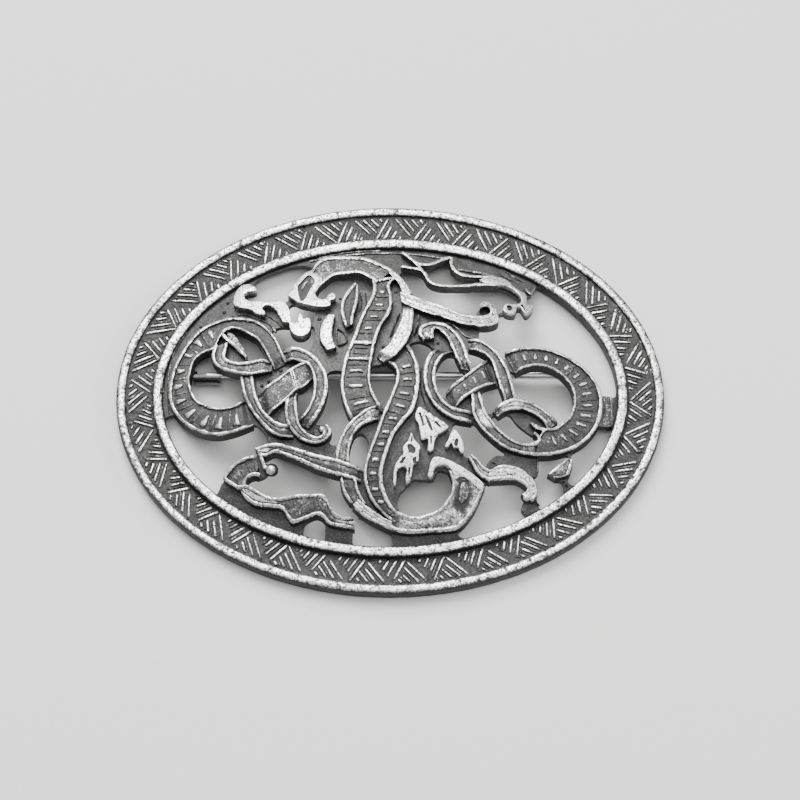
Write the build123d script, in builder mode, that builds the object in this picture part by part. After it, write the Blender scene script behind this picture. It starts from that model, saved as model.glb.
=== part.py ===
from build123d import *
from math import hypot
import os

os.makedirs("parts", exist_ok=True)

# Oval outline and its borders, in millimetres
brooch_length = 58.0
brooch_width = 43.5
rim_width = 1.0
hatch_band_width = 3.0
ring_width = 1.0
rim_height = 1.85
rim_round = 0.35
ring_height = 2.35
ring_round = 0.3
border_floor_height = 1.4
hatch_height = 0.22
hatch_line_width = 0.26
hatch_repeats = 34
hatch_lines = 4

# Domed openwork field inside the ring
field_edge_height = 2.9
crown_height = 7.2
openwork_thickness = 2.0
ground_depth = 1.15
channel_depth = 0.33
bead_width = 0.35

# Hollow underside
seat_width = 1.5
underside_recess = 0.45

# Pin, its hinge and its turning catch
pin_diameter = 0.9
pin_neck_diameter = 0.56
pin_point_diameter = 0.1
pin_taper_length = 12.0
pin_point_length = 1.0
pin_height = 1.25
pin_eye_diameter = 1.2
pin_eye_width = 0.7
rivet_diameter = 0.56
rivet_head_diameter = 0.9
rivet_head_height = 0.12
ear_thickness = 0.5
ear_diameter = 1.4
catch_length = 2.75
catch_bore = 1.05
catch_diameter = 1.8
catch_hub_diameter = 1.24
catch_web = 0.3
catch_flange_diameter = 2.04
catch_flange_width = 0.3
catch_shell_from = 100.0
catch_shell_arc = 145.0
catch_offset = 0.2
journal_diameter = 0.76
journal_neck = 0.35
journal_head_diameter = 1.1
journal_head_height = 0.15
lug_diameter = 1.7
lug_width = 0.95
turn_clearance = 0.05
side_clearance = 0.06
fit_clearance = 0.01
root_depth = 0.5

# Places on the field, in percent of its half-length and half-width
pin_y = 15.3
hinge_x = 79.0
lug_x = -89.9

# Sizes that follow from the ones above
field_a = brooch_length / 2 - rim_width - hatch_band_width - ring_width
field_b = brooch_width / 2 - rim_width - hatch_band_width - ring_width
dome_rise = crown_height - field_edge_height
above_all = crown_height + 1.0
pin_line = pin_y / 100 * field_b
catch_line = pin_line - catch_offset
hinge_line = hinge_x / 100 * field_a
lug_line = lug_x / 100 * field_a
shell_start = lug_line + lug_width / 2 + journal_neck
pin_tip = shell_start + catch_web + side_clearance

# Bands of the interlace. A row is one station along the band, with the middle of its left
# edge bead and the middle of its right edge bead: left_x, left_y, right_x, right_y.
# All places in these tables are in percent of the field's half-length and half-width.
BANDS = {
    "left_loop": [
        (-45.5, 14, -50.3, 10), (-48, 21.5, -52.3, 16.5), (-50.5, 30, -54.8, 24), (-54, 37, -57.8, 31),
        (-58.8, 43.2, -61.5, 35.2), (-65, 46.3, -66, 39.3), (-71, 47.3, -71, 40.8),
        (-77, 45.3, -75, 35), (-82.5, 41.8, -77.5, 27.3), (-87.5, 34.8, -81.5, 25.6),
        (-91.5, 25.5, -85.7, 21.3), (-94.7, 15, -87.8, 14.5), (-96.3, 4, -88.5, 5.5),
        (-96.1, -5, -86.8, -3), (-94, -13, -84.5, -8.2), (-89.5, -21, -81, -11.3),
        (-83.5, -26.8, -77, -13.8), (-75.5, -30.3, -72.5, -14.6), (-67.5, -29.2, -67.5, -13.5),
        (-59.5, -25.5, -63, -10)],
    "left_hook": [
        (-76.3, 29, -72, 29.8), (-77.5, 23.5, -72.8, 24), (-77, 18, -73, 20), (-74, 13.2, -70.8, 16.6),
        (-68.5, 9.7, -66.3, 14.8), (-62, 7.6, -61.5, 14.6), (-56.5, 8, -56.5, 15.6),
        (-51.5, 9.3, -52, 15)],
    "left_post": [
        (-65, 8, -60.8, 8), (-64.3, 1, -60.1, 1), (-63.3, -6, -59.2, -6), (-61.3, -13, -57.6, -12.5),
        (-58.6, -19.5, -55.4, -18.5), (-55.2, -25.5, -52.5, -23.2), (-51.3, -31.2, -49.4, -26.6),
        (-46.5, -34.4, -46, -28.2), (-42, -34, -42.5, -27.5)],
    "left_ring": [
        (-47, 21.5, -46, 15.3), (-42.5, 22.7, -42.2, 15.3), (-38, 20.8, -38.8, 13.8),
        (-34, 16.8, -35.8, 12), (-30.8, 11.5, -34, 8.3), (-28.6, 5, -32.9, 3.5),
        (-27.8, -3, -32.5, -3.5), (-28.4, -10.5, -33.1, -10.7), (-30.3, -17.8, -34.8, -17),
        (-33, -24.2, -37, -22), (-36, -29.5, -40, -26)],
    "left_strap": [
        (-57.5, -7, -54, -20.5), (-53, -2, -50, -16.3), (-48, 2.7, -45, -10.5), (-43.5, 7.7, -41, -5),
        (-39, 11.2, -37.5, -3), (-34.5, 13, -33.5, 3)],
    "left_curl": [
        (-43.5, -7, -41, -7), (-44.8, -14, -41.3, -14), (-45, -20, -40.9, -20),
        (-43.8, -27, -40, -26.5), (-41.3, -32.5, -38, -31.3), (-37.5, -37.2, -35.3, -34.8),
        (-33, -39.2, -32.3, -36.8), (-29, -38.3, -29.8, -36.2), (-26.7, -35.3, -28.6, -34.6),
        (-26.2, -31.8, -28.4, -32.3), (-27.8, -29, -29.2, -30.8)],
    "upper_body": [
        (-7.3, 72, 1.7, 73.3), (-6.7, 66.5, -0.9, 67.5), (-7.3, 60, 0, 60), (-9.4, 53, 0.1, 52.5),
        (-11.8, 45, -1.4, 45.2), (-13.5, 38, -4.3, 38), (-15, 31, -6.2, 30.5), (-16.8, 24, -7.4, 23.5),
        (-18.9, 15.5, -8.4, 15), (-20.2, 6, -9.2, 6), (-20.8, -3, -9, -3), (-19.9, -12, -7.7, -9.5),
        (-17.8, -21, -5.5, -15.5), (-15.5, -27, -3.5, -20)],
    "upper_neck": [
        (-36.5, 79, -33.3, 64), (-34.3, 80.5, -31.5, 68.5), (-32.3, 86.5, -28.7, 73),
        (-28, 90.4, -25, 77.3), (-21, 90.7, -19.7, 78.3), (-13, 89.7, -14.2, 78.9),
        (-7, 86.3, -9.8, 75.7), (0.5, 79.3, -5.5, 70.5)],
    "upper_spur": [
        (-2, 82, 0.6, 75), (2, 77.2, 2.8, 71.6), (5, 72, 4.3, 68), (7.3, 66.3, 5.5, 64),
        (9, 60.5, 6.5, 59.5)],
    "upper_ear": [
        (-15.3, 69, -14.6, 68.2), (-18.3, 63, -14.6, 62), (-20.5, 56, -14.9, 55.5),
        (-21, 49.5, -16, 49), (-20.3, 43, -16.8, 43), (-18.8, 36.5, -17, 38)],
    "upper_limb": [
        (4.5, 61.5, 5, 55.5), (8, 59.6, 8, 53), (13, 57, 12.5, 50), (19, 53.6, 18, 47),
        (25, 50, 24, 44.3), (31, 46, 30.8, 40.8), (37, 44.8, 37.3, 39.2), (42, 45.3, 43, 39.6),
        (44.5, 48, 46.8, 42.5), (44, 51.3, 47, 47.8), (42.3, 53.3, 45.3, 54), (40.8, 53, 42, 56.3),
        (39.5, 52, 39.8, 54)],
    "left_crescent": [
        (-26.3, 45.7, -25, 45.3), (-28.8, 40.3, -25.6, 39.7), (-30.1, 33, -26.1, 33),
        (-29.5, 26.5, -25.5, 27), (-27, 20.7, -24.3, 22)],
    "right_crescent": [
        (6.3, 53, 9.5, 53), (5.8, 43, 9.4, 43), (4.2, 36, 8.9, 35), (2, 28.5, 7.3, 28),
        (-0.5, 22.3, 4.5, 21.3), (-3.5, 18.5, 0.8, 15.5), (-5, 15, -3.5, 13)],
    "lower_body": [
        (-0.5, 13, 7.5, 24), (2, 9.3, 10, 16.5), (3.4, 5, 11.7, 8), (3.3, -1, 11.9, -1),
        (1.8, -7.5, 11.3, -9), (-0.3, -15, 9.3, -19.5), (-2.9, -24, 5.5, -26.5), (-5.6, -35, 1.2, -35),
        (-8.4, -45.5, -1.6, -45), (-10.6, -56, -3.8, -56), (-10.1, -65.5, -3.7, -65.5),
        (-7.5, -74.3, -1.4, -74.5), (-3, -81.5, 2.3, -81.2), (2, -87, 7.5, -84.4)],
    "lower_neck": [
        (-1, -89, 3, -82), (4, -91.8, 6.5, -84), (10.5, -92.4, 11.5, -85.3), (17, -91.6, 17, -83.4),
        (23, -91, 21.7, -80.2), (29, -89.3, 24.8, -75.5), (33.7, -83, 26.9, -70),
        (37, -75.5, 27.5, -64), (40.2, -65, 26, -57)],
    "lower_spur": [
        (-14, -74.8, -15.7, -77), (-10, -79, -12.5, -81.3), (-5.5, -83.3, -8, -85.5),
        (-1, -86.8, -3, -88.8), (4, -88.5, 3, -92)],
    "arc_band": [
        (-4.5, -16.5, -5, -24.5), (-8, -18.7, -8, -26), (-12, -22, -11.5, -28),
        (-16, -26.8, -14.7, -31.8), (-19.3, -32.8, -16.8, -37), (-21.5, -39.3, -18, -43),
        (-22.8, -47, -18.4, -49), (-22.8, -54, -18, -55)],
    "arc_tail": [
        (-20.8, -58, -15.5, -58), (-20.6, -64, -15, -64), (-19.3, -70, -13.8, -70),
        (-16.5, -76, -11, -76.5)],
    "left_limb": [
        (-58, -41.8, -57, -43.8), (-54, -40.3, -53.8, -45.5), (-49.5, -39.9, -49.8, -43.4),
        (-43.5, -42.1, -44.5, -46), (-37, -45.5, -38, -50), (-30, -48.7, -31, -54.8),
        (-24, -50.6, -24.7, -57.8), (-18, -53.6, -18.5, -60.2), (-12, -56.5, -12.5, -62.5)],
    "left_leg": [
        (-66.5, -63.5, -65.3, -65), (-62, -64, -62.5, -69.5), (-57, -68.2, -58, -74),
        (-51.5, -72, -51.3, -75.7), (-45.5, -72.2, -46.3, -77.5), (-40, -71.2, -42.3, -85.2),
        (-34, -71.2, -36.5, -83.5), (-29, -71.9, -31.5, -81.4), (-26.8, -76, -28.7, -83),
        (-24.7, -81.3, -26, -87), (-20.5, -84.8, -21, -88.7), (-15.7, -84.2, -15.3, -89.5)],
    "right_curl": [
        (18.2, 28.2, 15, 27.6), (18.2, 31.5, 13.2, 31.5), (18.6, 35, 14.2, 36.5), (20.3, 36, 18.7, 39),
        (22.7, 34, 24, 37.9), (25.3, 29.8, 28.2, 33), (27, 24.8, 31, 27), (28.5, 19, 32.8, 20),
        (29.8, 14, 34, 14), (31.5, 8.5, 35.5, 8)],
    "right_ring": [
        (20.5, 21.5, 26.5, 20.5), (18, 17.3, 22.5, 16.6), (16.2, 11.5, 20.2, 11.5), (15.4, 5, 19, 5),
        (15.5, -2, 19.2, -2), (16.8, -9, 20.5, -8.7), (19.5, -15.6, 22.8, -13.7),
        (23.5, -20.6, 26, -17.5), (28.5, -24.2, 29, -19.3), (35.5, -25.7, 36.5, -20.5)],
    "right_strap": [
        (24.5, -8.5, 27.5, -20), (28, -3, 30.5, -12.6), (32.5, 2.2, 35.5, -7), (37.5, 8.6, 40.5, -2.7),
        (42.5, 14.8, 46, 0.3)],
    "right_band": [
        (34, 28.7, 34.5, 23), (39, 27.7, 38.8, 21.2), (43.8, 23.8, 42.6, 18.2), (47.5, 18, 45.2, 13.3),
        (50.2, 11, 46.4, 7), (52.2, 3, 47.7, 0.5), (54, -8.5, 49.6, -8), (54.5, -13, 50.5, -13)],
    "right_lead": [
        (35.8, -5, 38, -4.5), (36.2, -12, 39.3, -11.5), (36.3, -20, 41, -20), (38.8, -27.5, 44, -25.8),
        (43.3, -34.2, 47.8, -31.8), (49.5, -40.5, 52.5, -36.5), (56, -43.3, 58, -38.9),
        (63, -44.2, 63, -37.8)],
    "right_loop": [
        (50.5, 20.5, 54.5, 8), (56, 23.3, 58.5, 11.5), (63.5, 25, 63.5, 13.7), (71, 23.9, 69, 13.1),
        (78, 20.2, 74, 10), (84.5, 14.5, 77.8, 5), (89.2, 7, 79.9, 0), (91.8, -1.5, 80.8, -6),
        (92, -12, 80.3, -13), (90, -22.5, 78.2, -20), (85.5, -31.7, 75.3, -24),
        (79, -38.5, 71.5, -27.8), (71, -42.7, 67.5, -28.8), (63, -44.2, 65, -33.5)],
    "right_hook": [
        (45, -19, 46.5, -21), (48.5, -15, 49.8, -17.8), (53.5, -11.2, 54.3, -16.2),
        (59, -11.7, 59.7, -16.6), (64.5, -14.6, 64.3, -19.7), (69, -18.7, 67.3, -23),
        (72.5, -23, 69, -27.5)],
    "right_limb": [
        (43, -56.5, 42.5, -61), (48, -53.3, 47.5, -60.2), (54, -53.6, 53.8, -59.4),
        (59, -57, 57.8, -61.5), (62.3, -62.5, 60, -64.8), (63, -68.5, 59, -67.5), (61, -72, 57.8, -69.5)],
    "right_fin": [
        (35, -47, 34.4, -47.8), (38.2, -51, 36.5, -53), (41, -55, 38.8, -58), (46, -57, 43.5, -61.5)],
    "small_leaf": [
        (77.7, -45.4, 78.8, -45.8), (74.6, -49, 78.2, -50), (71.7, -53, 76.3, -55.5),
        (69, -55.8, 71, -57.2)],
}

# Closed outlines that stand as high as the beads.
SHAPES = {
    "upper_left_foot": [
        (-65.5, 72.5), (-62.5, 72.8), (-60.3, 70.8), (-59.2, 68), (-60.8, 66.8), (-63.3, 66.6),
        (-64.6, 64.5), (-64, 61.5), (-61.5, 59.5), (-58, 58.7), (-54.8, 57.8), (-52, 58.5), (-49, 58.4),
        (-46.5, 57), (-45.3, 53.5), (-44.3, 49), (-43.5, 44), (-43.8, 41.5), (-47, 41.8), (-48.5, 46),
        (-50.5, 51.5), (-53.3, 54.8), (-55.3, 55), (-56.4, 53), (-55.3, 50.8), (-55, 48.6), (-57, 48),
        (-59, 49.8), (-62, 53), (-66, 55.2), (-68.8, 57), (-69.5, 61), (-68.8, 66), (-67.5, 70)],
    "ball_foot": [
        (-44.2, 41.8), (-43.8, 36.5), (-42.3, 32.8), (-39.8, 30.8), (-37.3, 31.2), (-35.3, 34),
        (-34.7, 39), (-35.4, 43.5), (-37.2, 44), (-38.2, 43.3), (-38.7, 46.8), (-40, 47.2), (-40.6, 44),
        (-40.7, 41.2), (-42, 41)],
    "upper_head": [
        (-34.5, 79), (-37, 79.3), (-39, 77), (-41, 73), (-43, 67.5), (-45.2, 62), (-43, 59),
        (-40.5, 56), (-36.5, 54), (-33, 52.2), (-28, 51.7), (-26, 53.5), (-26.5, 56), (-24.3, 57.5),
        (-24, 60.3), (-25.4, 62.3), (-27.2, 60.8), (-28.7, 57.8), (-31, 58), (-32.6, 60.5), (-33, 64.5),
        (-31.3, 69), (-30, 74)],
    "upper_right_foot": [
        (44, 76.6), (49, 76.2), (52, 74), (54.3, 70.3), (57, 67), (59.6, 64.8), (60.4, 61.5),
        (60, 57.5), (61.7, 56.2), (63, 56), (62.6, 53.5), (61, 50), (59.3, 49.3), (58.4, 51.7),
        (57.3, 54.3), (56, 54), (55.3, 51), (54.6, 48.8), (52, 48.5), (50, 50), (49.8, 53),
        (50.8, 55.6), (53.3, 56.3), (56, 56.3), (57.6, 58), (57.7, 61.3), (56.3, 64.5), (54.3, 67.4),
        (52, 69.5), (49, 70.5), (44, 70.3), (39.5, 73.3)],
    "lower_brow": [
        (40.6, -64.3), (37.5, -60.5), (33.5, -56.7), (29, -53), (25, -50.6), (21, -48.7), (18.8, -49.3),
        (17.5, -52), (16.9, -56), (16.2, -60.3), (17.3, -61.5), (18.6, -60.3), (19, -57), (20.3, -54.8),
        (23, -53.7), (25.5, -55), (27, -58), (28, -62), (31, -60.5), (35.5, -64.5), (39, -68)],
    "flame_leaf": [
        (12.5, -18.2), (15.5, -20.5), (19, -24), (22.5, -27), (25.3, -30.3), (23.5, -33), (20.8, -35.5),
        (19.3, -39.5), (18.5, -45.3), (16.3, -45.3), (16.5, -40), (16, -37.8), (13.7, -38.8), (13, -34),
        (12.2, -29), (10.8, -24.6)],
    "fang_leaf": [
        (28, -31.6), (26.3, -34.3), (25.2, -38.3), (23.7, -42.5), (25, -43), (26.6, -40.3),
        (27.4, -43.2), (29.4, -43), (30.3, -45.7), (31.7, -46.3), (32, -43), (31, -37.5), (29.5, -33.8)],
    "inner_leaf": [
        (9.3, -34.3), (10.2, -38), (11.5, -40.3), (13.1, -42.8), (12.5, -47), (12.3, -51.2),
        (10, -54.3), (9.5, -59), (8.7, -62.8), (6.9, -64.6), (7, -60.5), (7.2, -56.5), (5.8, -55),
        (3.4, -57), (2.7, -61), (2.6, -65.5), (1.6, -66.5), (1.7, -59), (2.3, -54), (4.3, -50),
        (5.8, -47), (5.6, -43.5), (7.8, -39.5)],
}

# Holes through the ground between the bands.
GAPS = {
    "foot_gap": [
        (-62.5, 62.5), (-58, 57.5), (-50, 57), (-45, 60.5), (-42, 63.5), (-39, 72), (-36.5, 79.5),
        (-34.5, 83), (-36.5, 87.5), (-43, 88), (-50, 85), (-57, 80.5), (-60.5, 76.5), (-61.8, 72),
        (-63, 68)],
    "jaw_gap": [
        (-45.3, 54), (-42.5, 57.5), (-38, 54.5), (-33.3, 53), (-33, 49), (-33.6, 44), (-35, 40.5),
        (-39, 40), (-43, 43), (-44.8, 49)],
    "ball_gap": [
        (-52, 38), (-48.5, 40.5), (-44, 40), (-40, 37), (-36, 38.5), (-33.7, 40), (-33, 35),
        (-33.6, 29), (-35, 24), (-38.5, 20.5), (-45, 20), (-48.5, 25), (-50.5, 31)],
    "leaf_gap": [
        (-70, 38.8), (-65, 37.5), (-60, 32.5), (-56.5, 25.5), (-54, 17), (-56.5, 12.5), (-61, 13),
        (-63.5, 18.5), (-66, 24), (-69.5, 30), (-72, 35)],
    "left_loop_gap": [
        (-76.5, 26), (-82, 24.5), (-86, 19.5), (-88.2, 12), (-88.5, 5.5), (-86.8, -3), (-84.5, -8.2),
        (-81, -11.3), (-77, -13.8), (-72.5, -14.6), (-67.5, -13.5), (-63, -10), (-62.5, 0), (-63, 6),
        (-66, 11), (-72.5, 14.5), (-75.8, 19)],
    "left_ring_gap": [
        (-40.5, -5.5), (-37, -3.5), (-33.3, 1), (-32, -4), (-33, -12), (-35.5, -18.5), (-38.5, -21),
        (-41, -19), (-42, -13)],
    "centre_left_gap": [
        (-27.5, 6), (-24, 8.5), (-20.5, 6.5), (-19.5, -3), (-19, -12), (-17, -22), (-17.5, -30),
        (-20.5, -36), (-22, -39.5), (-25.5, -39.5), (-27, -35), (-28.5, -28.5), (-33, -25.5),
        (-32, -20.5), (-29.5, -12), (-28.4, -3)],
    "centre_gap": [
        (-9, 9.5), (-4.5, 12), (0, 14.5), (2.5, 10), (4, 4), (3.5, -2), (1.5, -9), (-0.5, -16),
        (-4, -17), (-6.5, -14), (-8.5, -7), (-9.5, 1)],
    "arc_gap": [
        (-16, -36), (-13, -33), (-10.3, -35), (-9, -40), (-10, -48), (-12, -56.5), (-17.5, -56),
        (-17.7, -48), (-17.3, -42)],
    "leg_gap": [
        (-62.5, -62), (-60, -58.2), (-55, -57.5), (-52, -53), (-54, -48), (-51, -44.5), (-45, -45.5),
        (-38, -49.5), (-31, -54), (-24, -57), (-19.5, -60), (-19.7, -66), (-17.5, -72), (-14.5, -77),
        (-13.5, -82), (-15, -87), (-20, -86.5), (-24.5, -83.5), (-27.5, -77), (-30, -73), (-36, -73),
        (-44, -73.8), (-51, -74), (-57, -71), (-61, -67)],
    "rim_gap": [
        (-15.5, -83), (-11, -83.5), (-5, -88), (0, -91), (0.8, -95), (0.3, -100), (-8, -100.5),
        (-15.5, -99), (-16, -90)],
    "leg_notch": [
        (-37, -86), (-32, -82.5), (-28.5, -85), (-28, -90), (-28.8, -96), (-33, -95.3), (-37, -93.5)],
    "lower_left_gap": [
        (-98.5, -14.5), (-94, -14), (-89, -22), (-83, -27), (-75, -29.5), (-68, -28), (-60, -24.5),
        (-57, -26), (-54, -31), (-53, -37), (-56, -42), (-60, -46), (-66, -49), (-70.5, -55),
        (-73.3, -59.5), (-76, -65.5), (-82, -61), (-88, -52), (-93, -42), (-97, -30), (-99.5, -21)],
    "mouth_gap": [
        (-32.3, 62), (-31.3, 67), (-28, 73.3), (-24, 77), (-18.5, 77.3), (-13.5, 77.3), (-10, 74),
        (-8, 69.5), (-8.3, 65.5), (-12, 66.5), (-15.5, 65.5), (-18, 60), (-20.5, 57), (-24, 58),
        (-27, 59.5), (-30.2, 59)],
    "limb_gap": [
        (7.5, 63.5), (6.5, 70), (4, 76.5), (5.5, 81.5), (9, 80.8), (13, 79), (16, 74.5), (18.5, 69.5),
        (24, 67.3), (32, 67.7), (42, 69.5), (50, 69.5), (54, 66), (56.8, 61.5), (55.5, 57), (50.5, 55),
        (48.8, 51.5), (46.5, 51), (43.5, 54), (40, 53.5), (38, 50), (36.5, 45.5), (30, 47.5),
        (22, 51.5), (13, 56.5)],
    "foot_eye": [
        (14.2, 81.5), (18, 84), (22, 87), (25.8, 89), (26.5, 85.5), (27.3, 81.5), (30, 77.7),
        (34, 75.5), (38.5, 75), (39, 71.2), (32, 69), (25, 68.5), (19.8, 69.8), (17.7, 73), (16.3, 77.5)],
    "upper_right_gap": [
        (60, 64.5), (62.3, 66.5), (65, 74.5), (71, 71), (78.5, 62.5), (85.5, 53), (91.5, 42),
        (95.8, 31), (98.6, 19), (99.6, 8), (99, -0.5), (95.5, -1.5), (92, -2.5), (90, 4), (86, 11),
        (80, 17.3), (72, 22), (64, 23.5), (56, 22), (51, 19), (48.5, 16.5), (45.5, 21.5), (42, 25.5),
        (38, 28), (39, 33.5), (39.5, 38), (43.5, 40), (46.5, 43), (46.3, 48.5), (50, 50.5), (53.5, 51),
        (57, 55), (60, 51.5), (61.5, 55), (59.5, 59)],
    "spur_gap": [
        (7.5, 22), (10.3, 17), (11.8, 12.5), (15, 12), (17.3, 16.3), (18.8, 20.5), (17.5, 25),
        (13.5, 28), (9.5, 27)],
    "right_ring_gap": [
        (19.2, 9), (21.3, 14.5), (24.5, 18.3), (28.3, 18), (29.8, 13), (31.5, 8.5), (33.5, 4.5),
        (30, 0.5), (26.5, -5), (24.5, -9.5), (21, -9), (19.3, -3), (18.6, 3)],
    "strap_gap": [
        (33.5, 21.5), (36.5, 21.7), (41, 19.5), (44, 16.5), (45.5, 12.5), (42.5, 13.5), (38.5, 9.5),
        (35, 7), (34, 13)],
    "lead_gap": [
        (40.5, -4), (45, -1), (48, -1), (49.4, -6), (50.5, -12), (47.5, -15.5), (45, -18.5),
        (41.5, -18.5), (40, -14), (38.8, -9)],
    "right_loop_gap": [
        (55, 9), (59.5, 12), (65, 13.5), (70, 12.3), (75, 8.8), (78.7, 3), (80.3, -4), (80, -12),
        (78, -19), (74.5, -24), (71, -24), (69.5, -20.5), (65, -16), (60, -12.7), (54, -12), (52.3, -8),
        (51.8, -1), (50.7, 6), (52, 10)],
    "hook_gap": [
        (45.5, -19.5), (50, -18.3), (52.5, -19.5), (55, -24), (59, -28.5), (62.5, -31.5), (64.2, -35),
        (60, -38), (54, -37), (48.7, -33), (45, -27.5), (43.5, -22.5)],
    "lower_centre_gap": [
        (28.5, -25.5), (36, -25.5), (39.5, -29.5), (44, -35.5), (49, -41), (49.5, -44.5), (46, -45),
        (43, -48.5), (40.5, -52.5), (37, -49), (34, -47), (32, -45.5), (31, -39), (28.8, -32.5),
        (26.5, -30)],
    "leaf_side_gap": [
        (64.5, -43.5), (70, -42.5), (77, -41.5), (77.5, -46), (73.5, -50.5), (70.5, -54.5), (71.5, -57),
        (75, -58), (75.5, -63), (74.5, -67.5), (66, -75), (63.8, -70), (62, -63), (60.5, -58),
        (64.3, -54)],
    "rim_right_gap": [
        (92, -21), (98, -21.5), (96.5, -31.5), (93, -41), (87.5, -51), (82.5, -58.5), (78.5, -59),
        (77, -55), (78, -49), (78.5, -43.5), (80.5, -37.5), (86, -31.5), (90, -23.5)],
    "lower_right_gap": [
        (39.5, -66.5), (43, -60.5), (48, -59), (54, -58.5), (58, -61), (59.3, -66), (57.8, -72),
        (57, -76.5), (59.5, -81.5), (52.5, -86), (44.5, -90.5), (35.5, -94), (30.5, -93.5), (30, -90),
        (34.5, -82.5), (37.5, -75)],
    "lower_mouth_gap": [
        (4, -70), (3.5, -77), (6.5, -84), (11.5, -85.3), (17, -83.4), (21.7, -80.2), (24.8, -75.5),
        (26.9, -70), (27.5, -64), (25.5, -57), (21.5, -55), (20, -57), (18.3, -61), (14, -61), (10, -61),
        (7, -65)],
}

# Raised lines beside the bands.
LINES = {
    "left_leaf": [
        (-70.5, 40.8), (-73.2, 39.5), (-73.6, 36.5), (-72, 33), (-69, 28.8), (-66, 24), (-63, 19)],
    "foot_top": [
        (5.3, 94.5), (7.5, 92), (10, 88), (12.5, 85.3), (15.5, 84.6), (18.5, 85.3), (22, 88),
        (25, 90.3), (27.2, 90.5), (27.1, 86.5), (28.2, 81.5), (31, 77.9), (35, 76.2), (40, 76.3),
        (46, 76.3)],
    "foot_base": [
        (5, 83.2), (9, 81.7), (13, 80.6), (15.3, 77.5), (16.8, 72.5), (19.5, 69), (25, 67.8),
        (32, 68.3), (39, 69.9), (48, 70.6)],
    "foot_tie": [
        (11.3, 86.5), (14, 80)],
    "limb_curl": [
        (-56.5, -44), (-55.6, -48), (-54.6, -51.5)],
    "paw_edge": [
        (-59, -46.2), (-63, -47.2), (-67, -50), (-70.3, -54), (-71.7, -57.8), (-69, -61), (-65.5, -64.3)],
    "paw_inner": [
        (-63.2, -64), (-63.3, -60.5), (-61.5, -58), (-59, -56.6), (-56.5, -57.3)],
    "loop_end": [
        (67.5, -28.8), (64.5, -27.9), (62.3, -26), (61, -24.7)],
    "lead_end": [
        (60, -38.9), (63, -37.8), (64.9, -35.6), (64.3, -33), (62.5, -31)],
}

# Bands without a channel between their edges.
SMOOTH_BANDS = ["left_crescent", "right_crescent", "upper_spur", "lower_spur", "right_limb"]

# Bars across the bands. Columns: share of the band's length at the first bar, share at the
# last bar, number of bars, width of a bar in millimetres.
BARS = {
    "left_loop": [(0.36, 0.97, 11, 0.36)],
    "upper_body": [(0.11, 0.4, 4, 0.34), (0.5, 0.6, 2, 0.5), (0.69, 0.88, 3, 0.34)],
    "lower_body": [(0.09, 0.86, 11, 0.4)],
    "right_loop": [(0.08, 0.9, 14, 0.38)],
    "left_strap": [(0.62, 0.9, 2, 0.3)],
    "right_strap": [(0.45, 0.8, 3, 0.4)],
}

# Hollows cut into the heads.
HOLLOWS = {
    "upper_eye": [
        (-36, 77), (-39, 72.5), (-41, 68), (-40.3, 61), (-39.5, 56.5), (-37.5, 58), (-35, 66),
        (-33.2, 72)],
    "lower_eye": [
        (31, -61), (28.7, -66), (27.5, -72), (25.5, -77), (29, -81), (34, -77), (35, -70),
        (34.5, -66)],
}

# Round ends of the limbs, as high as the beads. Columns: x, y, diameter in millimetres.
BALLS = {
    "paw_ball": (-51.3, -54, 1.4),
    "paw_drop": (-54, -52.5, 0.8),
    "curl_ball": (-29.3, -31, 0.9),
    "limb_ball": (58.9, -69.6, 1.1),
    "tongue_ball": (16.4, 29.3, 1.0),
}


def field_point(x, y):
    """Place on the field, from percent of its half-length and half-width."""
    return (x / 100 * field_a, y / 100 * field_b)


def dome_height(x, y, depth):
    """Height of the domed surface that lies depth below the tops of the beads."""
    return crown_height - depth - dome_rise * ((x / field_a) ** 2 + (y / field_b) ** 2)


def dome_face(depth):
    """The domed surface as one curved face, wider than the field."""
    reach = 1.1
    half = (reach * field_a, reach * field_b)
    drop = dome_rise * reach**2
    rows = [[(i * half[0], j * half[1], crown_height - depth - (i * i + j * j) * drop
              + (1 - i * i) * drop + (1 - j * j) * drop) for j in (-1, 0, 1)] for i in (-1, 0, 1)]
    return Face.make_bezier_surface(rows)


def domed_layer(plan, depth, side=1):
    """The plan as a solid below the dome at this depth, or above it with a side of -1."""
    with BuildPart() as layer:
        with BuildSketch(Plane.XY.offset(underside_recess)):
            add(plan, clean=False)
        extrude(amount=above_all, clean=False)
        extrude(dome_face(depth), amount=side * 2 * above_all, dir=(0, 0, 1), mode=Mode.SUBTRACT,
                clean=False)
    return layer.part


def outline(points):
    """Face inside a smooth closed line through the points."""
    with BuildSketch() as face:
        with BuildLine():
            Spline(*[field_point(x, y) for x, y in points], periodic=True)
        make_face()
    return face.sketch


def edge_line(band, side):
    """Points along the left (0) or the right (1) bead of a band."""
    return [field_point(row[2 * side], row[2 * side + 1]) for row in band]


def band_face(band):
    """Area between the middles of a band's two edge beads."""
    with BuildSketch() as face:
        with BuildLine():
            left = Spline(*edge_line(band, 0))
            right = Spline(*edge_line(band, 1))
            Line(left @ 0, right @ 0)
            Line(left @ 1, right @ 1)
        make_face()
    return face.sketch


def beside(points, distance):
    """The points moved sideways, square to the line that runs through them."""
    moved = []
    for before, point, after in zip([points[0]] + points, points, points[1:] + [points[-1]]):
        run, rise = after[0] - before[0], after[1] - before[1]
        length = hypot(run, rise)
        moved.append((point[0] - rise / length * distance, point[1] + run / length * distance))
    return moved


def bead_face(points):
    """Area of a raised bead that follows the points."""
    with BuildSketch() as face:
        with BuildLine():
            one = Spline(*beside(points, bead_width / 2))
            other = Spline(*beside(points, -bead_width / 2))
            Line(one @ 0, other @ 0)
            Line(one @ 1, other @ 1)
        make_face()
    return face.sketch


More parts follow.
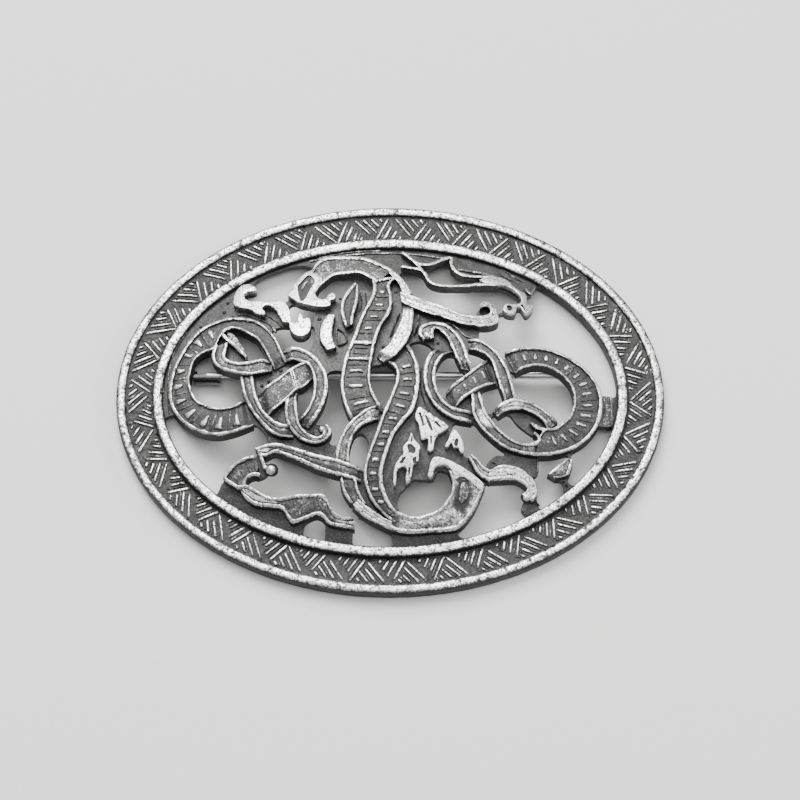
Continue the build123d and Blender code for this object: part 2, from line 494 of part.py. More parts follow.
def bar_faces(band, first, last, count, width):
    """Bars across a band, evenly spaced between two shares of its length."""
    with BuildLine(mode=Mode.PRIVATE) as sides:
        left = Spline(*edge_line(band, 0))
        right = Spline(*edge_line(band, 1))
    faces = []
    for i in range(count):
        share = first + (last - first) * i / (count - 1)
        corners = [left @ (share - width / 2 / left.length), left @ (share + width / 2 / left.length),
                   right @ (share + width / 2 / right.length), right @ (share - width / 2 / right.length)]
        with BuildSketch() as bar:
            with BuildLine():
                Polyline(*corners, close=True)
            make_face()
        faces.append(bar.sketch)
    return faces


def oval(a, b):
    """Filled ellipse with half-axes a and b."""
    with BuildSketch() as face:
        Ellipse(a, b)
    return face.sketch


def hatch_faces():
    """Fans of parallel lines in the zigzag of the border."""
    half_length = field_a + ring_width + hatch_band_width / 2
    half_width = field_b + ring_width + hatch_band_width / 2
    with BuildLine(mode=Mode.PRIVATE) as middle:
        round_line = EllipticalCenterArc((0, 0), half_length, half_width, arc_size=360)
    lean = 0.4
    pitch = 0.2
    inner_start = 0.83
    outer_start = 1.33
    edge_margin = 0.15
    longest = 0.58

    def border_point(along, across):
        share = along / hatch_repeats % 1
        point, tangent = round_line @ share, round_line % share
        out = (across - 0.5) * hatch_band_width
        return Vector(point.X + tangent.Y * out, point.Y - tangent.X * out)

    faces = []
    for repeat in range(hatch_repeats):
        for k in range(hatch_lines):
            length = longest * (1 - k / (hatch_lines - 0.4))
            for along, across, run, rise in (
                (repeat + inner_start - pitch * k, edge_margin, -lean, 1),
                (repeat + outer_start - pitch * k, 1 - edge_margin, lean - 1, -1),
            ):
                start = border_point(along, across)
                end = border_point(along + run * length, across + rise * length)
                side = (end - start).normalized().rotate(Axis.Z, 90) * (hatch_line_width / 2)
                with BuildSketch() as line:
                    with BuildLine():
                        Polyline(start + side, end + side, end - side, start - side, close=True)
                    make_face()
                faces.append(line.sketch)
    return faces


# Ring-shaped borders round the field
with BuildPart() as rim:
    with BuildSketch(Plane.XY):
        Ellipse(brooch_length / 2, brooch_width / 2)
        Ellipse(brooch_length / 2 - rim_width, brooch_width / 2 - rim_width, mode=Mode.SUBTRACT)
    extrude(amount=rim_height)
    fillet(rim.edges().group_by(Axis.Z)[-1], rim_round)

with BuildPart() as ring:
    with BuildSketch(Plane.XY):
        Ellipse(field_a + ring_width, field_b + ring_width)
        Ellipse(field_a, field_b, mode=Mode.SUBTRACT)
    extrude(amount=ring_height)
    fillet(ring.edges().group_by(Axis.Z)[-1], ring_round)

with BuildPart() as border_floor:
    with BuildSketch(Plane.XY):
        Ellipse(brooch_length / 2 - rim_width / 2, brooch_width / 2 - rim_width / 2)
        Ellipse(field_a + ring_width / 2, field_b + ring_width / 2, mode=Mode.SUBTRACT)
    extrude(amount=border_floor_height)

with BuildPart() as hatch:
    with BuildSketch(Plane.XY.offset(border_floor_height - hatch_height)):
        add(hatch_faces(), clean=False)
    extrude(amount=2 * hatch_height)

# Plans of the openwork's levels
with BuildSketch() as ground_plan:
    add(oval(field_a + ring_width / 2, field_b + ring_width / 2))
    add([outline(points) for points in GAPS.values()], mode=Mode.SUBTRACT)

with BuildSketch() as bead_plan:
    add([bead_face(edge_line(band, side)) for band in BANDS.values() for side in (0, 1)])
    add([bead_face([field_point(x, y) for x, y in points]) for points in LINES.values()])
    add([outline(points) for points in SHAPES.values()])
    for x, y, diameter in BALLS.values():
        with Locations(field_point(x, y)):
            Circle(diameter / 2)

with BuildSketch() as raised_plan:
    add(bead_plan.sketch)
    add([band_face(band) for band in BANDS.values()])

with BuildSketch() as bar_plan:
    for name, groups in BARS.items():
        for group in groups:
            add(bar_faces(BANDS[name], *group))

with BuildSketch() as channel_plan:
    add([band_face(band) for name, band in BANDS.items() if name not in SMOOTH_BANDS])
    add(bead_plan.sketch, mode=Mode.SUBTRACT)
    add(bar_plan.sketch, mode=Mode.SUBTRACT)
    add([outline(points) for points in HOLLOWS.values()])

# The borders as one ring, with a shallow step inside the edge that it rests on
with BuildPart() as border:
    add([rim.part, border_floor.part, ring.part], clean=False)
    with BuildSketch(Plane.XY):
        Ellipse(brooch_length / 2 - seat_width, brooch_width / 2 - seat_width)
    extrude(amount=underside_recess, mode=Mode.SUBTRACT, clean=False)

# The whole casting, with the ears of the hinge and the lug of the catch
with BuildPart() as cast_plate:
    add(domed_layer(ground_plan.sketch, ground_depth), clean=False)
    add(domed_layer(raised_plan.sketch, 0), clean=False)
    add(domed_layer(channel_plan.sketch, channel_depth, side=-1), mode=Mode.SUBTRACT, clean=False)
    add(domed_layer(oval(field_a, field_b), openwork_thickness), mode=Mode.SUBTRACT, clean=False)
    add(border.part, clean=False)
    add(hatch.part, clean=False)
    # Ears on both sides of the pin's eye
    ear_inside = pin_eye_width / 2 + side_clearance
    ear_top = dome_height(hinge_line, pin_line, openwork_thickness) + root_depth
    for side in (-1, 1):
        with BuildSketch(Plane.XZ.offset(-pin_line - side * (ear_inside + ear_thickness / 2))):
            with Locations((hinge_line, pin_height)):
                Circle(ear_diameter / 2)
            with Locations((hinge_line, (pin_height + ear_top) / 2)):
                Rectangle(ear_diameter, ear_top - pin_height)
            with Locations((hinge_line, pin_height)):
                Circle(rivet_diameter / 2 + fit_clearance, mode=Mode.SUBTRACT)
        extrude(amount=ear_thickness / 2, both=True, clean=False)
    # Lug that the catch turns in, and room for the head of its journal
    lug_top = dome_height(lug_line, catch_line, openwork_thickness) + root_depth
    with BuildSketch(Plane.YZ.offset(lug_line)):
        with Locations((catch_line, pin_height)):
            Circle(lug_diameter / 2)
        with Locations((catch_line, (pin_height + lug_top) / 2)):
            Rectangle(lug_diameter, lug_top - pin_height)
    extrude(amount=lug_width / 2, both=True, clean=False)
    with BuildSketch(Plane.YZ.offset(lug_line - lug_width / 2)):
        with Locations((catch_line, pin_height)):
            Circle(journal_head_diameter / 2 + 2 * turn_clearance)
    extrude(amount=-journal_head_height - 2 * side_clearance, mode=Mode.SUBTRACT, clean=False)
    with BuildSketch(Plane.YZ.offset(lug_line)):
        with Locations((catch_line, pin_height)):
            Circle(journal_diameter / 2 + turn_clearance)
    extrude(amount=lug_width, both=True, mode=Mode.SUBTRACT, clean=False)
cast_plate.part.label = "cast_plate"
export_step(cast_plate.part, "parts/cast_plate.step", write_pcurves=False)

# Steel pin: an eye at the hinge and a stem that tapers to its point
with BuildPart() as pin_stem:
    with BuildSketch(Plane.XZ.offset(-pin_line)):
        with BuildLine():
            Polyline(
                (hinge_line, pin_height),
                (hinge_line, pin_height + pin_diameter / 2),
                (pin_tip + pin_taper_length, pin_height + pin_diameter / 2),
                (pin_tip + pin_point_length, pin_height + pin_neck_diameter / 2),
                (pin_tip, pin_height + pin_point_diameter / 2),
                (pin_tip, pin_height),
                close=True,
            )
        make_face()
    revolve(axis=Axis((0, pin_line, pin_height), (1, 0, 0)))
    # The stem stays within the width of the eye where it joins it
    with BuildSketch(Plane.XZ.offset(-pin_line)):
        with Locations((hinge_line, pin_height)):
            Circle(pin_eye_diameter / 2)
    extrude(amount=above_all, both=True, mode=Mode.SUBTRACT)
    with BuildSketch(Plane.XZ.offset(-pin_line)):
        with Locations((hinge_line, pin_height)):
            Circle(pin_eye_diameter / 2)
            Circle(rivet_diameter / 2 + turn_clearance, mode=Mode.SUBTRACT)
    extrude(amount=pin_eye_width / 2, both=True)
pin_stem.part.label = "pin_stem"
export_step(pin_stem.part, "parts/pin_stem.step")

# Rivet through the ears and the eye, with a flat head outside each ear
with BuildPart() as hinge_rivet:
    rivet_reach = ear_inside + ear_thickness
    with BuildSketch(Plane.XZ.offset(-pin_line)):
        with Locations((hinge_line, pin_height)):
            Circle(rivet_diameter / 2)
    extrude(amount=rivet_reach, both=True)
    for side in (-1, 1):
        with BuildSketch(Plane.XZ.offset(-pin_line + side * rivet_reach)):
            with Locations((hinge_line, pin_height)):
                Circle(rivet_head_diameter / 2)
        extrude(amount=side * rivet_head_height)
hinge_rivet.part.label = "hinge_rivet"
export_step(hinge_rivet.part, "parts/hinge_rivet.step")


def shell_face(inner, outer):
    """Sector of a ring round the catch's axis, from its bore out to a diameter."""
    with BuildSketch() as face:
        with BuildLine():
            inside = CenterArc((0, 0), inner / 2, catch_shell_from, catch_shell_arc)
            outside = CenterArc((0, 0), outer / 2, catch_shell_from, catch_shell_arc)
            Line(inside @ 0, outside @ 0)
            Line(inside @ 1, outside @ 1)
        make_face()
    return face.sketch


# Turning catch: a journal with a head, a web, an open shell and a thin flange
with BuildPart() as catch_barrel:
    for start, length, faces in (
        (shell_start, catch_length, [shell_face(catch_bore, catch_diameter)]),
        (shell_start, catch_web, [shell_face(catch_bore, catch_diameter), catch_hub_diameter]),
        (shell_start + catch_length - catch_flange_width, catch_flange_width,
         [shell_face(catch_bore, catch_flange_diameter)]),
        (lug_line - lug_width / 2 - side_clearance, lug_width + side_clearance + journal_neck,
         [journal_diameter]),
        (lug_line - lug_width / 2 - side_clearance - journal_head_height, journal_head_height,
         [journal_head_diameter]),
    ):
        with BuildSketch(Plane.YZ.offset(start)):
            with Locations((catch_line, pin_height)):
                for face in faces:
                    if isinstance(face, float):
                        Circle(face / 2)
                    else:
                        add(face)
        extrude(amount=length)
catch_barrel.part.label = "catch_barrel"
export_step(catch_barrel.part, "parts/catch_barrel.step")

bounds = cast_plate.part.bounding_box()
print("casting", bounds.size, "volume", cast_plate.part.volume, "solids", len(cast_plate.part.solids()))
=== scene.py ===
"""Finish and fine relief of a domed oval openwork brooch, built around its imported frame."""

import math
from bisect import bisect_left, bisect_right

import bmesh
import bpy
from mathutils import Matrix, Vector, noise


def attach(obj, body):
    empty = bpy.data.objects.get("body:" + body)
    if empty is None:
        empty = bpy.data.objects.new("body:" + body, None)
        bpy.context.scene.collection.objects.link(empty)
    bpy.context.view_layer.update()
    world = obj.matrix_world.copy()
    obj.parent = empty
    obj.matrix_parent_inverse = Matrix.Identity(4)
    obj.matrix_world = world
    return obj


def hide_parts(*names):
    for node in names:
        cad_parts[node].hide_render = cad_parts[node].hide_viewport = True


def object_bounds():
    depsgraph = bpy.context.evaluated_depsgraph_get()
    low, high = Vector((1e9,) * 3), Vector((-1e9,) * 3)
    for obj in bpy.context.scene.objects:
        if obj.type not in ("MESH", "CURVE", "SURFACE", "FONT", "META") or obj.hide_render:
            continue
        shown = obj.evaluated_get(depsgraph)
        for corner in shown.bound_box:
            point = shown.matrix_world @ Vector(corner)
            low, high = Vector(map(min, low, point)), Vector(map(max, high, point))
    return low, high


bl_info = {
    "name": "Openwork Brooch",
    "version": (1, 0, 0),
    "blender": (4, 5, 0),
    "location": "View3D > Sidebar > Brooch",
    "description": "Relief, patina and stage of an oval openwork brooch",
    "category": "Object",
}

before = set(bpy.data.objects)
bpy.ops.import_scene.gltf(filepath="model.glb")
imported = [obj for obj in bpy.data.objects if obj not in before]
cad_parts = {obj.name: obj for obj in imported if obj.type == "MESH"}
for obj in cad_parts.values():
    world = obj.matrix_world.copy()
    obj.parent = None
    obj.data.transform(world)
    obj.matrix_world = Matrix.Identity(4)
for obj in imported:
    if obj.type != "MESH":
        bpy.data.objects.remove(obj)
cad_low, cad_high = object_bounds()

# Lengths below are millimetres until a piece is finished
MM = 0.001
RIM_WIDTH = 1.0
HATCH_BAND_WIDTH = 3.0
RING_WIDTH = 1.0
RIM_HEIGHT = 1.85
RING_HEIGHT = 2.35
BORDER_FLOOR = 1.4
HATCH_RISE = 0.24
HATCH_LINE_WIDTH = 0.22
FINE_LINE_WIDTH = 0.15
# Lengths along the hatching are shares of one repeat, lengths across it shares of its width
HATCH_REPEATS = 34
HATCH_LINES = 4
HATCH_PITCH = 0.2
HATCH_LEAN = 0.4
HATCH_MARGIN = 0.1
HATCH_LENGTH = 0.72
FIELD_EDGE_HEIGHT = 2.9
CROWN_HEIGHT = 7.2
OPENWORK_THICKNESS = 2.0
GROUND_DEPTH = 1.15
UNDERSIDE_RECESS = 0.45
SEAT_WIDTH = 1.5
FIELD_A = (cad_high.x - cad_low.x) / MM / 2 - RIM_WIDTH - HATCH_BAND_WIDTH - RING_WIDTH
FIELD_B = (cad_high.y - cad_low.y) / MM / 2 - RIM_WIDTH - HATCH_BAND_WIDTH - RING_WIDTH
DOME_RISE = CROWN_HEIGHT - FIELD_EDGE_HEIGHT
# Half-length and half-width of the line along the middle of the hatched band
HATCH_A = FIELD_A + RING_WIDTH + HATCH_BAND_WIDTH / 2
HATCH_B = FIELD_B + RING_WIDTH + HATCH_BAND_WIDTH / 2
# Depth at which beads and shapes end, just above the underside of the openwork
FOOT_DEPTH = OPENWORK_THICKNESS - 0.05
GROUND_CELLS = (180, 126)

# Bands of the interlace. A row is one station along the band, with the middle of its left
# edge bead and the middle of its right edge bead: left_x, left_y, right_x, right_y.
# All places in these tables are in percent of the field's half-length and half-width.
BANDS = {
    "left_loop": [
        (-45.5, 14, -50.3, 10), (-48, 21.5, -52.3, 16.5), (-50.5, 30, -54.8, 24), (-54, 37, -57.8, 31),
        (-58.8, 43.2, -61.5, 35.2), (-65, 46.3, -66, 39.3), (-71, 47.3, -71, 40.8),
        (-77, 45.3, -75, 35), (-82.5, 41.8, -77.5, 27.3), (-87.5, 34.8, -81.5, 25.6),
        (-91.5, 25.5, -85.7, 21.3), (-94.7, 15, -87.8, 14.5), (-96.3, 4, -88.5, 5.5),
        (-96.1, -5, -86.8, -3), (-94, -13, -84.5, -8.2), (-89.5, -21, -81, -11.3),
        (-83.5, -26.8, -77, -13.8), (-75.5, -30.3, -72.5, -14.6), (-67.5, -29.2, -67.5, -13.5),
        (-59.5, -25.5, -63, -10)],
    "left_hook": [
        (-76.3, 29, -72, 29.8), (-77.5, 23.5, -72.8, 24), (-77, 18, -73, 20), (-74, 13.2, -70.8, 16.6),
        (-68.5, 9.7, -66.3, 14.8), (-62, 7.6, -61.5, 14.6), (-56.5, 8, -56.5, 15.6),
        (-51.5, 9.3, -52, 15)],
    "left_post": [
        (-65, 8, -60.8, 8), (-64.3, 1, -60.1, 1), (-63.3, -6, -59.2, -6), (-61.3, -13, -57.6, -12.5),
        (-58.6, -19.5, -55.4, -18.5), (-55.2, -25.5, -52.5, -23.2), (-51.3, -31.2, -49.4, -26.6),
        (-46.5, -34.4, -46, -28.2), (-42, -34, -42.5, -27.5)],
    "left_ring": [
        (-47, 21.5, -46, 15.3), (-42.5, 22.7, -42.2, 15.3), (-38, 20.8, -38.8, 13.8),
        (-34, 16.8, -35.8, 12), (-30.8, 11.5, -34, 8.3), (-28.6, 5, -32.9, 3.5),
        (-27.8, -3, -32.5, -3.5), (-28.4, -10.5, -33.1, -10.7), (-30.3, -17.8, -34.8, -17),
        (-33, -24.2, -37, -22), (-36, -29.5, -40, -26)],
    "left_strap": [
        (-57.5, -7, -54, -20.5), (-53, -2, -50, -16.3), (-48, 2.7, -45, -10.5), (-43.5, 7.7, -41, -5),
        (-39, 11.2, -37.5, -3), (-34.5, 13, -33.5, 3)],
    "left_curl": [
        (-43.5, -7, -41, -7), (-44.8, -14, -41.3, -14), (-45, -20, -40.9, -20),
        (-43.8, -27, -40, -26.5), (-41.3, -32.5, -38, -31.3), (-37.5, -37.2, -35.3, -34.8),
        (-33, -39.2, -32.3, -36.8), (-29, -38.3, -29.8, -36.2), (-26.7, -35.3, -28.6, -34.6),
        (-26.2, -31.8, -28.4, -32.3), (-27.8, -29, -29.2, -30.8)],
    "upper_body": [
        (-7.3, 72, 1.7, 73.3), (-6.7, 66.5, -0.9, 67.5), (-7.3, 60, 0, 60), (-9.4, 53, 0.1, 52.5),
        (-11.8, 45, -1.4, 45.2), (-13.5, 38, -4.3, 38), (-15, 31, -6.2, 30.5), (-16.8, 24, -7.4, 23.5),
        (-18.9, 15.5, -8.4, 15), (-20.2, 6, -9.2, 6), (-20.8, -3, -9, -3), (-19.9, -12, -7.7, -9.5),
        (-17.8, -21, -5.5, -15.5), (-15.5, -27, -3.5, -20)],
    "upper_neck": [
        (-36.5, 79, -33.3, 64), (-34.3, 80.5, -31.5, 68.5), (-32.3, 86.5, -28.7, 73),
        (-28, 90.4, -25, 77.3), (-21, 90.7, -19.7, 78.3), (-13, 89.7, -14.2, 78.9),
        (-7, 86.3, -9.8, 75.7), (0.5, 79.3, -5.5, 70.5)],
    "upper_spur": [
        (-2, 82, 0.6, 75), (2, 77.2, 2.8, 71.6), (5, 72, 4.3, 68), (7.3, 66.3, 5.5, 64),
        (9, 60.5, 6.5, 59.5)],
    "upper_ear": [
        (-15.3, 69, -14.6, 68.2), (-18.3, 63, -14.6, 62), (-20.5, 56, -14.9, 55.5),
        (-21, 49.5, -16, 49), (-20.3, 43, -16.8, 43), (-18.8, 36.5, -17, 38)],
    "upper_limb": [
        (4.5, 61.5, 5, 55.5), (8, 59.6, 8, 53), (13, 57, 12.5, 50), (19, 53.6, 18, 47),
        (25, 50, 24, 44.3), (31, 46, 30.8, 40.8), (37, 44.8, 37.3, 39.2), (42, 45.3, 43, 39.6),
        (44.5, 48, 46.8, 42.5), (44, 51.3, 47, 47.8), (42.3, 53.3, 45.3, 54), (40.8, 53, 42, 56.3),
        (39.5, 52, 39.8, 54)],
    "left_crescent": [
        (-26.3, 45.7, -25, 45.3), (-28.8, 40.3, -25.6, 39.7), (-30.1, 33, -26.1, 33),
        (-29.5, 26.5, -25.5, 27), (-27, 20.7, -24.3, 22)],
    "right_crescent": [
        (6.3, 53, 9.5, 53), (5.8, 43, 9.4, 43), (4.2, 36, 8.9, 35), (2, 28.5, 7.3, 28),
        (-0.5, 22.3, 4.5, 21.3), (-3.5, 18.5, 0.8, 15.5), (-5, 15, -3.5, 13)],
    "lower_body": [
        (-0.5, 13, 7.5, 24), (2, 9.3, 10, 16.5), (3.4, 5, 11.7, 8), (3.3, -1, 11.9, -1),
        (1.8, -7.5, 11.3, -9), (-0.3, -15, 9.3, -19.5), (-2.9, -24, 5.5, -26.5), (-5.6, -35, 1.2, -35),
        (-8.4, -45.5, -1.6, -45), (-10.6, -56, -3.8, -56), (-10.1, -65.5, -3.7, -65.5),
        (-7.5, -74.3, -1.4, -74.5), (-3, -81.5, 2.3, -81.2), (2, -87, 7.5, -84.4)],
    "lower_neck": [
        (-1, -89, 3, -82), (4, -91.8, 6.5, -84), (10.5, -92.4, 11.5, -85.3), (17, -91.6, 17, -83.4),
        (23, -91, 21.7, -80.2), (29, -89.3, 24.8, -75.5), (33.7, -83, 26.9, -70),
        (37, -75.5, 27.5, -64), (40.2, -65, 26, -57)],
    "lower_spur": [
        (-14, -74.8, -15.7, -77), (-10, -79, -12.5, -81.3), (-5.5, -83.3, -8, -85.5),
        (-1, -86.8, -3, -88.8), (4, -88.5, 3, -92)],
    "arc_band": [
        (-4.5, -16.5, -5, -24.5), (-8, -18.7, -8, -26), (-12, -22, -11.5, -28),
        (-16, -26.8, -14.7, -31.8), (-19.3, -32.8, -16.8, -37), (-21.5, -39.3, -18, -43),
        (-22.8, -47, -18.4, -49), (-22.8, -54, -18, -55)],
    "arc_tail": [
        (-20.8, -58, -15.5, -58), (-20.6, -64, -15, -64), (-19.3, -70, -13.8, -70),
        (-16.5, -76, -11, -76.5)],
    "left_limb": [
        (-58, -41.8, -57, -43.8), (-54, -40.3, -53.8, -45.5), (-49.5, -39.9, -49.8, -43.4),
        (-43.5, -42.1, -44.5, -46), (-37, -45.5, -38, -50), (-30, -48.7, -31, -54.8),
        (-24, -50.6, -24.7, -57.8), (-18, -53.6, -18.5, -60.2), (-12, -56.5, -12.5, -62.5)],
    "left_leg": [
        (-66.5, -63.5, -65.3, -65), (-62, -64, -62.5, -69.5), (-57, -68.2, -58, -74),
        (-51.5, -72, -51.3, -75.7), (-45.5, -72.2, -46.3, -77.5), (-40, -71.2, -42.3, -85.2),
        (-34, -71.2, -36.5, -83.5), (-29, -71.9, -31.5, -81.4), (-26.8, -76, -28.7, -83),
        (-24.7, -81.3, -26, -87), (-20.5, -84.8, -21, -88.7), (-15.7, -84.2, -15.3, -89.5)],
    "right_curl": [
        (18.2, 28.2, 15, 27.6), (18.2, 31.5, 13.2, 31.5), (18.6, 35, 14.2, 36.5), (20.3, 36, 18.7, 39),
        (22.7, 34, 24, 37.9), (25.3, 29.8, 28.2, 33), (27, 24.8, 31, 27), (28.5, 19, 32.8, 20),
        (29.8, 14, 34, 14), (31.5, 8.5, 35.5, 8)],
    "right_ring": [
        (20.5, 21.5, 26.5, 20.5), (18, 17.3, 22.5, 16.6), (16.2, 11.5, 20.2, 11.5), (15.4, 5, 19, 5),
        (15.5, -2, 19.2, -2), (16.8, -9, 20.5, -8.7), (19.5, -15.6, 22.8, -13.7),
        (23.5, -20.6, 26, -17.5), (28.5, -24.2, 29, -19.3), (35.5, -25.7, 36.5, -20.5)],
    "right_strap": [
        (24.5, -8.5, 27.5, -20), (28, -3, 30.5, -12.6), (32.5, 2.2, 35.5, -7), (37.5, 8.6, 40.5, -2.7),
        (42.5, 14.8, 46, 0.3)],
    "right_band": [
        (34, 28.7, 34.5, 23), (39, 27.7, 38.8, 21.2), (43.8, 23.8, 42.6, 18.2), (47.5, 18, 45.2, 13.3),
        (50.2, 11, 46.4, 7), (52.2, 3, 47.7, 0.5), (54, -8.5, 49.6, -8), (54.5, -13, 50.5, -13)],
    "right_lead": [
        (35.8, -5, 38, -4.5), (36.2, -12, 39.3, -11.5), (36.3, -20, 41, -20), (38.8, -27.5, 44, -25.8),
        (43.3, -34.2, 47.8, -31.8), (49.5, -40.5, 52.5, -36.5), (56, -43.3, 58, -38.9),
        (63, -44.2, 63, -37.8)],
    "right_loop": [
        (50.5, 20.5, 54.5, 8), (56, 23.3, 58.5, 11.5), (63.5, 25, 63.5, 13.7), (71, 23.9, 69, 13.1),
        (78, 20.2, 74, 10), (84.5, 14.5, 77.8, 5), (89.2, 7, 79.9, 0), (91.8, -1.5, 80.8, -6),
        (92, -12, 80.3, -13), (90, -22.5, 78.2, -20), (85.5, -31.7, 75.3, -24),
        (79, -38.5, 71.5, -27.8), (71, -42.7, 67.5, -28.8), (63, -44.2, 65, -33.5)],
    "right_hook": [
        (45, -19, 46.5, -21), (48.5, -15, 49.8, -17.8), (53.5, -11.2, 54.3, -16.2),
        (59, -11.7, 59.7, -16.6), (64.5, -14.6, 64.3, -19.7), (69, -18.7, 67.3, -23),
        (72.5, -23, 69, -27.5)],
    "right_limb": [
        (43, -56.5, 42.5, -61), (48, -53.3, 47.5, -60.2), (54, -53.6, 53.8, -59.4),
        (59, -57, 57.8, -61.5), (62.3, -62.5, 60, -64.8), (63, -68.5, 59, -67.5), (61, -72, 57.8, -69.5)],
    "right_fin": [
        (35, -47, 34.4, -47.8), (38.2, -51, 36.5, -53), (41, -55, 38.8, -58), (46, -57, 43.5, -61.5)],
    "small_leaf": [
        (77.7, -45.4, 78.8, -45.8), (74.6, -49, 78.2, -50), (71.7, -53, 76.3, -55.5),
        (69, -55.8, 71, -57.2)],
}

# Closed outlines that stand as high as the beads
SHAPES = {
    "upper_left_foot": [
        (-65.5, 72.5), (-62.5, 72.8), (-60.3, 70.8), (-59.2, 68), (-60.8, 66.8), (-63.3, 66.6),
        (-64.6, 64.5), (-64, 61.5), (-61.5, 59.5), (-58, 58.7), (-54.8, 57.8), (-52, 58.5), (-49, 58.4),
        (-46.5, 57), (-45.3, 53.5), (-44.3, 49), (-43.5, 44), (-43.8, 41.5), (-47, 41.8), (-48.5, 46),
        (-50.5, 51.5), (-53.3, 54.8), (-55.3, 55), (-56.4, 53), (-55.3, 50.8), (-55, 48.6), (-57, 48),
        (-59, 49.8), (-62, 53), (-66, 55.2), (-68.8, 57), (-69.5, 61), (-68.8, 66), (-67.5, 70)],
    "ball_foot": [
        (-44.2, 41.8), (-43.8, 36.5), (-42.3, 32.8), (-39.8, 30.8), (-37.3, 31.2), (-35.3, 34),
        (-34.7, 39), (-35.4, 43.5), (-37.2, 44), (-38.2, 43.3), (-38.7, 46.8), (-40, 47.2), (-40.6, 44),
        (-40.7, 41.2), (-42, 41)],
    "upper_head": [
        (-34.5, 79), (-37, 79.3), (-39, 77), (-41, 73), (-43, 67.5), (-45.2, 62), (-43, 59),
        (-40.5, 56), (-36.5, 54), (-33, 52.2), (-28, 51.7), (-26, 53.5), (-26.5, 56), (-24.3, 57.5),
        (-24, 60.3), (-25.4, 62.3), (-27.2, 60.8), (-28.7, 57.8), (-31, 58), (-32.6, 60.5), (-33, 64.5),
        (-31.3, 69), (-30, 74)],
    "upper_right_foot": [
        (44, 76.6), (49, 76.2), (52, 74), (54.3, 70.3), (57, 67), (59.6, 64.8), (60.4, 61.5),
        (60, 57.5), (61.7, 56.2), (63, 56), (62.6, 53.5), (61, 50), (59.3, 49.3), (58.4, 51.7),
        (57.3, 54.3), (56, 54), (55.3, 51), (54.6, 48.8), (52, 48.5), (50, 50), (49.8, 53),
        (50.8, 55.6), (53.3, 56.3), (56, 56.3), (57.6, 58), (57.7, 61.3), (56.3, 64.5), (54.3, 67.4),
        (52, 69.5), (49, 70.5), (44, 70.3), (39.5, 73.3)],
    "lower_brow": [
        (40.6, -64.3), (37.5, -60.5), (33.5, -56.7), (29, -53), (25, -50.6), (21, -48.7), (18.8, -49.3),
        (17.5, -52), (16.9, -56), (16.2, -60.3), (17.3, -61.5), (18.6, -60.3), (19, -57), (20.3, -54.8),
        (23, -53.7), (25.5, -55), (27, -58), (28, -62), (31, -60.5), (35.5, -64.5), (39, -68)],
    "flame_leaf": [
        (12.5, -18.2), (15.5, -20.5), (19, -24), (22.5, -27), (25.3, -30.3), (23.5, -33), (20.8, -35.5),
        (19.3, -39.5), (18.5, -45.3), (16.3, -45.3), (16.5, -40), (16, -37.8), (13.7, -38.8), (13, -34),
        (12.2, -29), (10.8, -24.6)],
    "fang_leaf": [
        (28, -31.6), (26.3, -34.3), (25.2, -38.3), (23.7, -42.5), (25, -43), (26.6, -40.3),
        (27.4, -43.2), (29.4, -43), (30.3, -45.7), (31.7, -46.3), (32, -43), (31, -37.5), (29.5, -33.8)],
    "inner_leaf": [
        (9.3, -34.3), (10.2, -38), (11.5, -40.3), (13.1, -42.8), (12.5, -47), (12.3, -51.2),
        (10, -54.3), (9.5, -59), (8.7, -62.8), (6.9, -64.6), (7, -60.5), (7.2, -56.5), (5.8, -55),
        (3.4, -57), (2.7, -61), (2.6, -65.5), (1.6, -66.5), (1.7, -59), (2.3, -54), (4.3, -50),
        (5.8, -47), (5.6, -43.5), (7.8, -39.5)],
}

